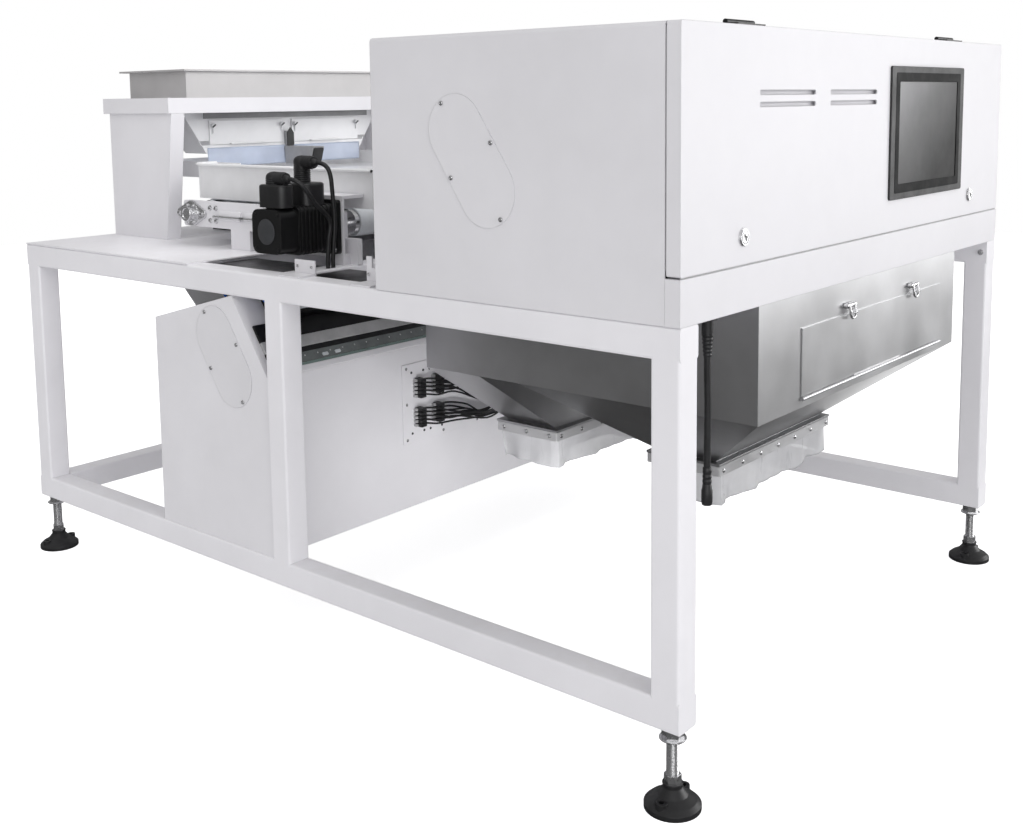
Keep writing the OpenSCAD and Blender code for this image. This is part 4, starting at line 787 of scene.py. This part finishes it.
class SORTER_OT_cover_screws(Operator):
    """Screws of the oblong covers, the connector plate, the hinges and the rail brackets"""

    bl_idname = "sorter.cover_screws"
    bl_label = "Cover screws"

    def execute(self, context):
        r = context.scene.sorter_sizes.screw_radius
        covers = ((0.7915, (-0.612, 1.16), 0.132), (0.7865, (0.193, 0.675), 0.122))
        for side, label in SIDES:
            spots = []
            for face, centre, reach in covers:
                way = np.stack([reach * UP_SLOPE, 0.062 * IN_SLOPE])
                for away in (way[0], -way[0], way[1], -way[1]):
                    spots.append([side * face, *(centre + away)])
            heads = placed(button_head(r), spots, (side, 0, 0))
            make(f"cover_screws_{label}", heads, "bright_steel")
        lo, hi = box("valve_plate")
        low, high = lo[2] + 0.011, hi[2] - 0.011
        row = np.linspace(lo[0] + 0.014, hi[0] - 0.014, 6)
        spots = [[x, PLUG_FACE, z] for x in row for z in (low, high)]
        spots += [[x, PLUG_FACE, (low + high) / 2] for x in (row[0], row[-1])]
        make("plate_screws", placed(button_head(0.8 * r), spots, FORWARD), "bright_steel")
        for middle, label in ((-0.547, "left"), (0.457, "right")):
            roof = points(middle + np.array([-0.036, 0.0, 0.036]), -1.022, 1.405)
            make(f"hinge_screws_{label}", placed(button_head(0.6 * r), roof), "black_metal")
        spots = points(-0.7345, [-0.075, -0.028, -0.31, -0.262], 0.905)
        make("bracket_screws", placed(button_head(0.8 * r), spots, LEFT), "bright_steel")
        return {"FINISHED"}


class SORTER_OT_flange_bolts(Operator):
    """Skirt bands with their rivets, and the conveyor's bolts, take-up bars and tail bearings"""

    bl_idname = "sorter.flange_bolts"
    bl_label = "Flange bolts"

    def add_band(self, label, y):
        """A band round a skirt's top, as four loops of a rounded rectangle, and its rivets."""
        loops = ((0.534, 0.184, 0.4744), (0.535, 0.185, 0.4526), (0.539, 0.189, 0.453),
                 (0.539, 0.189, 0.4744))
        lines = [points(*(rounded(w, d, 0.004, 4) + (0, y)).T, z) for w, d, z in loops]
        make(f"{label}_skirt_band", looped(np.stack(lines)), "band_steel")
        rivet = turned([(0.0052, 0), (0.005, 0.0012), (0.0038, 0.0026), (0.0018, 0.0033),
                        (0.0002, 0.0034)], 16)
        x, across, z = np.linspace(-0.252, 0.252, 7), y + np.array([-0.072, 0.0, 0.072]), 0.4635
        heads = [placed(rivet, points(x, y + s * 0.0945, z), (0, s, 0)) for s in (-1, 1)]
        heads += [placed(rivet, points(s * 0.2695, across, z), (s, 0, 0)) for s in (-1, 1)]
        make(f"{label}_band_rivets", joined(*heads), "bright_steel")

    def bearing_flange(self):
        """A two-eared flange: at each angle the lobe that reaches furthest gives the outline."""
        centres = np.array([[0, 0], [0.05, 0], [-0.05, 0]])
        radii = np.array([0.0345, 0.0125, 0.0125])
        ray = circle(1, 64)
        best = (ray @ centres.T + radii).argmax(1)
        return crowned_plate(centres[best] + ray * radii[best][:, None], 0.0065, 0.0015)

    def execute(self, context):
        for label, y in OUTLETS_Y.items():
            self.add_band(label, y)
        bar, flange = slab(0.092, 0.026, 0.003, 0.005, 0.0012, 5), self.bearing_flange()
        rod = turned([(0.0042, -0.066), (0.0042, 0.066), (0.0034, 0.0668), (0.0002, 0.0668)], 14)
        hub = turned([(0.0208, 0.0), (0.0208, 0.003), (0.0196, 0.0042), (0.015, 0.0042),
                      (0.014, 0.0016), (0.0004, 0.0014)], 32)
        for side, label in SIDES:
            out, face = (side, 0, 0), side * PLATE_FACE
            spots = np.concatenate([points(side * (PLATE_FACE + 0.008),
                                           *(circle(0.0255, 6) + (y, AXIS_Z)).T)
                                    for y in ROLLERS_Y])
            make(f"bearing_bolts_{label}", placed(hex_bolt(0.0036), spots, out), "bright_steel")
            spots = [[face, y, AXIS_Z + z] for y in (0.52, 0.545, 0.15) for z in (0.018, -0.016)]
            make(f"plate_bolts_{label}", placed(hex_bolt(0.0048), spots, out), "bright_steel")
            spots = points(side * (PLATE_FACE - 0.0005), [0.233, 0.345, 0.457], AXIS_Z)
            make(f"take_up_bars_{label}", placed(bar, spots, out), "feed_paint")
            rods = placed(rod, spots + (side * 0.0072, 0, -0.004), (0, 1, 0))
            make(f"take_up_rods_{label}", rods, "bright_steel")
            tail = np.array([face, ROLLERS_Y[1], AXIS_Z])
            make(f"tail_bearing_flange_{label}", placed(flange, tail, out), "bright_steel")
            ears = tail + [[side * 0.0065, s * 0.05, 0] for s in (-1, 1)]
            shape = joined(placed(hub, tail + (side * 0.0202, 0, 0), out),
                           placed(hex_bolt(0.005), ears, out))
            make(f"tail_bearing_hub_{label}", shape, "roller_steel")
        return {"FINISHED"}


class SORTER_OT_motor_dress(Operator):
    """Bolts, cap, ribs, plugs and leads of the drive motor, and black sheets beside it that are
    painted shade in the deck's openings
    """

    bl_idname = "sorter.motor_dress"
    bl_label = "Motor dress"

    def plug(self, x, wide, head):
        """A plug: its seat, a ribbed neck up to the head, a wavy grip and a tapered boot."""
        neck_z, rib = 1.086, 0.0023
        k = np.arange(2 * int((head - neck_z) / (2 * rib)) + 2)
        wall = np.stack([0.0204 - 0.0014 * (k % 2), neck_z + rib * k], -1).tolist()
        top = [(0.0198, head), (0.0188, head + 0.007), (0.0155, head + 0.012),
               (0.009, head + 0.0155), (0.0003, head + 0.0165)]
        neck = turned([(0.0198, neck_z - 0.002)] + wall + top, 28)
        wavy = [(0.015 + 0.0011 * (i % 2), 0.003 + 0.0035 * i) for i in range(9)]
        grip = turned([(0.014, 0.0)] + wavy + [(0.014, 0.036), (0.006, 0.0362)], 28)
        boot = turned([(0.0105, 0), (0.0098, 0.004), (0.0068, 0.012), (0.0055, 0.013),
                       (0.0046, 0.013)], 20)
        return joined(placed(slab(0.09, wide, 0.019, 0.053, 0.006, 8), [x, 0.06, 1.0335]),
                      placed(neck, [x, 0.065, 0.0]), placed(grip, [x, 0.058, head], FORWARD),
                      placed(boot, [x, 0.023, head], FORWARD))

    def lead(self, x, head, end):
        """A lead from a plug's boot, over a bend and down to its end."""
        lean = 0.25 * (end - x)
        route = [[x, 0.012, head], [x + 0.002, 0.004, head - 0.0005],
                 [x + 0.006, -0.008, head - 0.005],
                 [x + 0.3 * lean + 0.008, -0.018, head - 0.016],
                 [x + lean + 0.008, -0.022, head - 0.036],
                 [x + 2 * lean + 0.006, -0.022, head - 0.06], [end + 0.004, -0.02, 1.0],
                 [end + 0.002, -0.0175, 0.95], [end, -0.015, 0.905], [end, -0.015, 0.8866]]
        return carried(circle(0.0052, 14), smooth_route(route, 10), up=(1, 0.2, 0))

    def execute(self, context):
        cap = box("motor")[0][0]
        axis = np.array([ROLLERS_Y[0], AXIS_Z])
        corner = 0.054 * np.array([[-1, -1], [-1, 1], [1, -1], [1, 1]])
        bolts = placed(button_head(0.0068), points(-0.586, *(corner + axis).T), LEFT)
        make("motor_flange_bolts", bolts, "bright_steel")
        screws = placed(button_head(0.0036), points(cap, *(corner * 0.74 + axis).T), LEFT)
        make("motor_cap_screws", screws, "black_metal")
        disc = turned([(0.03, 0), (0.03, 0.0016), (0.028, 0.0024), (0.0005, 0.0024)], 40)
        make("motor_cap_disc", placed(disc, [cap, *axis], LEFT), "dark_metal")
        crest, foot = rounded(0.1155, 0.1155, 0.0155), rounded(0.11, 0.11, 0.013)
        section = ((-0.0026, foot), (-0.0018, crest), (0.0018, crest), (0.0026, foot))
        ribs = [tube_surface(np.stack([points(x + dx, *(o + axis).T) for dx, o in section]))
                for x in np.linspace(-0.594, -0.686, 9)]
        make("motor_ribs", joined(*ribs), "black_metal")
        rows = ((-0.718, 0.046, 1.1, -0.632), (-0.634, 0.066, 1.134, -0.616))
        plugs = [self.plug(x, wide, head) for x, wide, head, _ in rows]
        make("motor_plugs", joined(*plugs), "black_plastic")
        leads = [self.lead(x, head, end) for x, _, head, end in rows]
        make("motor_leads", joined(*leads), "black_cable", replaces=["motor_cables"])
        # Black sheets in the deck's openings beside the motor: painted shade where the dark inside
        # shows
        for name, length, y in (("drive_bay_painted_shade", 0.286, 0.1745),
                                ("sensor_bay_painted_shade", 0.3, -0.1815)):
            shade_sheet = slab(length, 0.148, 0.003, 0.006, 0.001)
            make(name, placed(shade_sheet, [-0.654, y, 0.874]), "black_metal")
        return {"FINISHED"}


class SORTER_OT_door_dress(Operator):
    """Vent troughs, screen border, lock rings, door seals, latch loops and the post's bolt"""

    bl_idname = "sorter.door_dress"
    bl_label = "Door dress"

    def trough(self):
        """A vent trough: half a pipe along X that shrinks to a point at both ends."""
        a, quarter = np.linspace(0, np.pi, 12), np.linspace(0, np.pi / 2, 6)
        bow = np.stack([np.sin(a), np.cos(a)], -1)
        arc = np.concatenate([0.0088 * bow, 0.0078 * bow[::-1]])
        grow = np.sin(quarter) * 0.99 + 0.01
        size = np.concatenate([grow, grow[::-1]])
        half, tip = 0.1135, 0.0055
        reach = np.concatenate([-half - tip * np.cos(quarter), half + tip * np.sin(quarter)])
        rings = [points(x, *(arc * k).T) for x, k in zip(reach, size)]
        return tube_surface(np.stack(rings)[::-1])

    def execute(self, context):
        v, f = self.trough()
        spots = [(x, DOOR_FACE + 0.0031, z) for x in (-0.407, -0.115) for z in (1.26, 1.282)]
        troughs = joined(*[(v + spot, f) for spot in spots])
        make("vent_troughs", troughs, "cabinet_paint", body="door")

        lo, hi = box("screen_glass")
        (width, _, height), middle = hi - lo, (lo + hi) / 2
        rings = []
        for g, y in ((0.034, 0.0004), (0.034, -0.0005), (-0.006, -0.0005), (-0.006, 0.0004)):
            line = rounded(width + g, height + g, 0.004)
            rings.append(points(middle[0] + line[:, 0], SCREEN[1] + y, middle[2] + line[:, 1]))
        make("screen_border", looped(np.stack(rings)), "mask", body="door")

        ring = turned([(0.0172, 0), (0.0172, 0.0022), (0.0166, 0.0032), (0.0156, 0.0034),
                       (0.0151, 0.0026), (0.0151, 0.0)], 36)
        slit = slab(0.0036, 0.015, 0.0017, 0.0006, 0.0002, 5)
        core = looped(np.stack([
            points(*circle(r, 32).T, h)
            for r, h in ((0.0122, 0), (0.0122, 0.0004), (0.0112, 0.0004), (0.0112, 0))]))
        for side, label in SIDES:
            spot = np.array([side * LOCK_X, DOOR_FACE, LOCK_Z])
            make(f"lock_ring_{label}", placed(ring, spot, FORWARD), "bright_steel", body="door")
            face = spot - (0, 0.005, 0)
            shape = joined(placed(slit, face, FORWARD, 0.5), placed(core, face, FORWARD))
            make(f"lock_slit_{label}", shape, "black_metal", body=f"lock_{label}")

        lo, hi = box("door")
        (width, _, height), middle = hi - lo - 0.006, (lo + hi) / 2
        beads = []
        for c, d in circle(0.0012, 8):
            line = rounded(width + 2 * c, height + 2 * c, 0.012)
            beads.append(points(middle[0] + line[:, 0], d - 1.0505, middle[2] + line[:, 1]))
        make("door_seal", looped(np.stack(beads)), "seal")
        section = [(-0.0011, -0.0013), (0.0011, -0.0013), (0.0011, 0.0013), (-0.0011, 0.0013)]
        line = points([lo[0] + 0.004, 0.0, hi[0] - 0.004], -1.0772, 0.9706)
        make("door_foot_seal", carried(section, line), "seal", body="door")

        t = np.linspace(0, np.pi, 9)
        sleeve = turned([(0.004, 0), (0.0058, 0.0006), (0.0058, 0.0434), (0.004, 0.044)], 24)
        for x, label in ((-0.117, "left"), (0.227, "right")):
            bend = points(x - 0.013 * np.cos(t), -1.089, 0.817 - 0.01 * np.sin(t))
            start, end = ([[x + d, -1.0862, 0.836]] for d in (-0.0125, 0.0125))
            wire = carried(circle(0.0026, 10), np.concatenate([start, bend, end]), FORWARD)
            shape = joined(wire, placed(sleeve, [x - 0.022, -1.081, 0.834], (1, 0, 0)))
            make(f"latch_loop_{label}", shape, "bright_steel", body=f"latch_{label}")
        make("post_bolt", placed(hex_bolt(0.005), [0.73, -1.064, 0.857], LEFT), "bright_steel")
        return {"FINISHED"}


class SORTER_OT_feet_dress(Operator):
    """Threads and washers of the levelling feet's studs, and the beads on their pads"""

    bl_idname = "sorter.feet_dress"
    bl_label = "Levelling feet"

    def execute(self, context):
        pitch, steps = context.scene.sorter_sizes.thread_pitch, 28
        z = np.arange(0.0642, 0.1342, pitch / 8)[:, None]
        wave = (z / pitch - around(steps) / (2 * np.pi)) % 1.0
        thread = spun(0.01105 + 0.0009 * (1 - np.abs(2 * wave - 1)), z)
        washer = turned([(0.0245, 0.1312), (0.0252, 0.1318), (0.0252, 0.1334), (0.0245, 0.134),
                         (0.0112, 0.134), (0.0112, 0.1312)], 36)
        feet = [[sx * 0.76, sy * 1.05, 0] for sx in (-1, 1) for sy in (-1, 1)]
        studs = joined(placed(thread, feet), placed(washer, feet))
        make("stud_threads", studs, "bright_steel")
        bead = turned([(0.0185, 0.0455), (0.0192, 0.046), (0.0192, 0.0475), (0.0185, 0.0482),
                       (0.0162, 0.0482)], 32)
        make("pad_collars", placed(bead, feet), "black_plastic")
        return {"FINISHED"}


class SORTER_OT_optics_dress(Operator):
    """Lamp lenses and air nozzles at the product's flight path"""

    bl_idname = "sorter.optics_dress"
    bl_label = "Optics dress"

    def execute(self, context):
        x = np.linspace(-0.465, 0.465, context.scene.sorter_sizes.nozzles)
        tip = turned([(0.0003, -0.004), (0.0012, -0.004), (0.0014, -0.0065), (0.003, -0.006),
                      (0.0042, -0.003), (0.0042, 0)], 12)
        spots = points(x, -0.3755, box("ejector")[0][2])
        make("air_nozzles", placed(tip, spots), "bright_steel")
        a = np.linspace(0, np.pi, 12)
        upper = [UPPER_MIDDLE + UP_SLOPE * (s * 0.092 - 0.1856) + IN_SLOPE * 0.034
                 for s in (-1, 1)]
        lower = [lower_slope(0.1777, 0.034)]
        for name, height, half, middles, sign in (
                ("upper_lamp_lenses", 0.036, 0.47, upper, 1),
                ("lower_lamp_lens", 0.062, 0.69, lower, -1)):
            dome = (np.outer(height / 2 * np.cos(a), UP_SLOPE)
                    + np.outer(sign * 0.006 * np.sin(a) ** 0.7, IN_SLOPE))
            ends = np.linspace(-half, half, 3)[::sign]
            lenses = [tube_surface(np.stack([points(e, *(middle + dome).T) for e in ends]))
                      for middle in middles]
            make(name, joined(*lenses), "lens")
        return {"FINISHED"}


class SORTER_OT_lower_window(Operator):
    """Pane, strips, lamp spots and clips of the lower optics on the housing's front slope; two
    black strips are painted shade
    """

    bl_idname = "sorter.lower_window"
    bl_label = "Lower window"

    def execute(self, context):
        # The black gap strip and the black strip above the cover are painted shade: the shaded gap,
        # and the shadow over the window
        for name, start, end, height, look, slot in (
                ("lower_pane_frame", 0.0003, 0.015, 0.0078, "lower_paint", "lower_paint"),
                ("lower_pane_edge", 0.0152, 0.022, 0.0064, "glass_edge", "window_glass"),
                ("lower_pane", 0.0222, 0.048, 0.0066, "lamp_glass", "window_glass"),
                ("lower_pane_gap_painted_shade", 0.0482, 0.061, 0.0064, "black_metal", "black_metal"),
                ("lower_cover_strip", 0.0612, 0.0905, 0.0085, "cover_grey", "sensor_grey"),
                ("lower_painted_shadow_strip", 0.0909, 0.1366, 0.0066, "black_metal", "black_metal")):
            make(name, slope_strip(start, end, height), look)
        out, face = (0, *-IN_SLOPE), 0.0064
        chip = turned([(0.0019, 0), (0.0019, 0.0006), (0.0014, 0.0009), (0.0002, 0.0009)], 12)
        spots = points(np.linspace(-0.66, 0.66, 34), *lower_slope(0.038, face))
        make("lower_lamp_spots", placed(chip, spots, out), "cover_grey")
        clip = slab(0.017, 0.008, 0.002, 0.003, 0.0008)
        spots = points([-0.6, -0.56, 0.56, 0.6], *lower_slope(0.031, face))
        make("lower_lamp_clips", placed(clip, spots, out), "lens")
        return {"FINISHED"}


class SORTER_OT_valve_wiring(Operator):
    """Twenty plugs on the connector plate, their cables drawn together into the gathering block"""

    bl_idname = "sorter.valve_wiring"
    bl_label = "Valve wiring"

    def cable(self, x, z, middle, column, lane):
        """A cable from its plug, past its row's bunch and into its hole of the block."""
        end = np.array([0.0402, -0.007 + 0.015 * column, 0.4655 - 0.0054 * lane])
        out = 0.006 if column else -0.006 - 0.003 * (lane % 3)
        wave = 0.004 * math.sin(2.6 * lane + column)
        bunch = middle - 0.01 + 0.45 * (z - middle)
        route = [[x + 0.0095, 0.015, z], [x + 0.02, 0.015, z], [x + 0.043, out, z - 0.002],
                 [x + 0.095, out - 0.008 + wave, bunch + wave],
                 [-0.085, out - 0.01 - wave, 0.35 * bunch + 0.65 * end[2] - 0.012 - wave],
                 end - (0.03, 0.001, 0.002), end - (0.014, 0, 0), end]
        return carried(circle(0.0025, 10), smooth_route(route, 5))

    def execute(self, context):
        plate = slab(0.71, 0.212, 0.004, 0.003, 0.0008, 5)
        make("connector_plate", placed(plate, [0, 0.03, PLUG_Z], FORWARD), "lower_paint",
             replaces=["valve_plate"])
        plugs, cables = [], []
        for column, x in enumerate((-0.3, -0.232)):
            for lane in range(10):
                middle = PLUG_Z + (0.04 if lane < 5 else -0.038)
                z = middle + (2 - lane % 5) * 0.0104
                plugs.append([x, PLUG_FACE, z])
                cables.append(self.cable(x, z, middle, column, lane))
        shell = placed(slab(0.0205, 0.009, 0.0016, 0.023, 0.0012), plugs, FORWARD)
        block = slab(0.036, 0.064, 0.003, 0.04, 0.002)
        block = placed(block, [0.058, PLUG_FACE, 0.441], FORWARD)
        make("valve_plugs", joined(shell, block), "black_plastic")
        tip = slab(0.0066, 0.0066, 0.001, 0.011, 0.0008)
        tips = placed(tip, np.array(plugs) - (0.0135, 0, 0), FORWARD)
        make("valve_plug_tips", tips, "seal")
        make("valve_wires", joined(*cables), "black_cable", replaces=["valve_cables"])
        spots = [[x, PLUG_FACE, z] for x in (-0.322, -0.278, -0.254, -0.21)
                 for z in (0.449 - 0.038, 0.533 + 0.04)]
        make("valve_plate_studs", placed(button_head(0.0034), spots, FORWARD), "dark_metal")
        return {"FINISHED"}


class SORTER_OT_guard_sheets(Operator):
    """The belt's side guards as bent sheets with curled rear ends and rolled top edges"""

    bl_idname = "sorter.guard_sheets"
    bl_label = "Side guards"

    def execute(self, context):
        lo, hi = box("side_guards")
        out, curl, t, lip_r = 0.499, 0.042, 0.0012, 0.004
        low, high, back = 1.0155, hi[2] + 0.004, hi[1] + curl
        a = np.linspace(0, np.pi / 2, 9)
        plan = np.concatenate([
            points(out, np.linspace(lo[1], hi[1] - 0.001, 8), 0),
            points(out - curl + curl * np.cos(a), hi[1] + curl * np.sin(a), 0),
            [[0.44, back, 0], [0.416, back, 0]]])
        lip = np.linspace(0, 1.5 * np.pi, 10)[1:]
        bead = np.stack([lip_r - lip_r * np.cos(lip), high - lip_r + lip_r * np.sin(lip)], -1)
        skin = np.concatenate([[[-t, low], [t, low], [t, high - lip_r]], bead + (t, 0),
                               [[-t, high - lip_r]]])
        for side, label in SIDES:
            v, f = carried(skin * (side, 1), plan * (side, 1, 1))
            shape = v, [face[::side] for face in f]
            make(f"side_guard_{label}", shape, "feed_steel", replaces=["side_guards"])
        return {"FINISHED"}


class SORTER_OT_hopper_dress(Operator):
    """Wing screws of the feed gates, the funnel's rim under the collar as a grey strip of painted
    shade, the sensor's plate and face
    """

    bl_idname = "sorter.hopper_dress"
    bl_label = "Hopper dress"

    def execute(self, context):
        wing = slab(0.015, 0.0045, 0.002, 0.002, 0.0006, 5)
        spots = points([-0.29, -0.027, 0.027, 0.29], 0.867, 1.208)
        make("gate_wing_screws", placed(wing, spots, FORWARD, 0.6), "dark_metal")
        # The funnel's rim under the collar, grey: its darkness is painted shade under the ring beam
        band = slab(0.66, 0.017, 0.001, 0.004, 0.0006)
        make("hopper_rim_painted_shade", placed(band, [0, 0.864, 1.2385], FORWARD), "sensor_grey")
        x, z = [0.0138, 0.0138, 0.0, -0.0138, -0.0138], [1.14, 1.18, 1.198, 1.18, 1.14]
        rings = np.stack([points(x, y, z) for y in (0.8635, 0.8658)])
        make("sensor_bracket_plate", tube_surface(rings), "black_metal")
        face = slab(0.04, 0.046, 0.005, 0.004, 0.0015, 5)
        make("sensor_face", placed(face, [0.005, 0.7445, 1.112], (0, -1, -0.33)), "black_plastic")
        return {"FINISHED"}


class SORTER_OT_electronics_dress(Operator):
    """Faces, louvres, terminals, wires and slotted duct of the control modules behind the door"""

    bl_idname = "sorter.electronics_dress"
    bl_label = "Electronics dress"

    def execute(self, context):
        middles, lanes = (np.arange(5) - 2) * 0.256, (np.arange(9) - 4) * 0.0138
        box_y = -0.9278
        front = box_y - 0.004
        face = slab(0.152, 0.176, 0.006, 0.004, 0.0015, 5)
        make("module_faces", placed(face, points(middles, box_y, 1.044), FORWARD), "dark_metal")
        slat = slab(0.112, 0.005, 0.002, 0.0026, 0.001)
        spots = [[x, front, 1.054 + 0.0105 * k] for x in middles for k in range(6)]
        make("module_louvres", placed(slat, spots, FORWARD), "black_plastic")
        plug = slab(0.0118, 0.024, 0.0015, 0.012, 0.001)
        spots = np.array([[x + d, front, z]
                          for x in middles for d in lanes for z in (0.973, 1.03)])
        make("module_terminals", placed(plug, spots, FORWARD), "cover_grey")
        screws = placed(button_head(0.0034), spots - (0, 0.012, -0.004), FORWARD)
        make("module_terminal_screws", screws, "bright_steel")
        wires = []
        for x in middles:
            for k, d in enumerate(lanes):
                route = [[x + d, box_y - 0.014, 0.963], [x + d, box_y - 0.018, 0.956],
                         [x + d, box_y - 0.016, 0.944],
                         [x + d * 0.96, box_y + 0.006, 0.926 + 0.001 * (k % 3)],
                         [x + d * 0.94, box_y + 0.02, 0.921]]
                wires.append(carried(circle(0.0023, 8), smooth_route(route, 6), up=(1, 0, 0)))
        make("module_wires", joined(*wires), "black_cable")
        duct = slab(1.24, 0.034, 0.003, 0.04, 0.002)
        make("wiring_duct", placed(duct, [0, -0.88, 0.91], FORWARD), "sensor_pale")
        rib = slab(0.006, 0.026, 0.001, 0.0016, 0.0005, 3)
        spots = points(np.linspace(-0.605, 0.605, 100), -0.92, 0.909)
        make("wiring_duct_ribs", placed(rib, spots, FORWARD), "cover_grey")
        return {"FINISHED"}


STEPS = (SORTER_OT_stage, SORTER_OT_lead, SORTER_OT_finishes, SORTER_OT_skirts,
         SORTER_OT_cover_screws, SORTER_OT_flange_bolts, SORTER_OT_motor_dress,
         SORTER_OT_door_dress, SORTER_OT_feet_dress, SORTER_OT_optics_dress,
         SORTER_OT_lower_window, SORTER_OT_valve_wiring, SORTER_OT_guard_sheets,
         SORTER_OT_hopper_dress, SORTER_OT_electronics_dress)


class SORTER_PT_panel(Panel):
    """Steps and settings of the sorter's dressing"""

    bl_idname = "SORTER_PT_panel"
    bl_label = "Optical sorter"
    bl_space_type = "VIEW_3D"
    bl_region_type = "UI"
    bl_category = "Sorter"

    def draw(self, context):
        scene = context.scene
        for group in (scene.sorter_finish, scene.sorter_sizes, scene.sorter_stage):
            part = self.layout.box()
            for name in group.__annotations__:
                part.prop(group, name)
        for step in STEPS:
            self.layout.operator(step.bl_idname)


SETTINGS = {"sorter_finish": SorterFinish, "sorter_sizes": SorterSizes, "sorter_stage": SorterStage}


def register():
    for cls in (*SETTINGS.values(), *STEPS, SORTER_PT_panel):
        bpy.utils.register_class(cls)
    for name, cls in SETTINGS.items():
        setattr(bpy.types.Scene, name, PointerProperty(type=cls))


def unregister():
    for name in SETTINGS:
        delattr(bpy.types.Scene, name)
    for cls in reversed((*SETTINGS.values(), *STEPS, SORTER_PT_panel)):
        bpy.utils.unregister_class(cls)


def main():
    register()
    for step in STEPS:
        group, name = step.bl_idname.split(".")
        getattr(getattr(bpy.ops, group), name)()


if __name__ == "__main__":
    main()
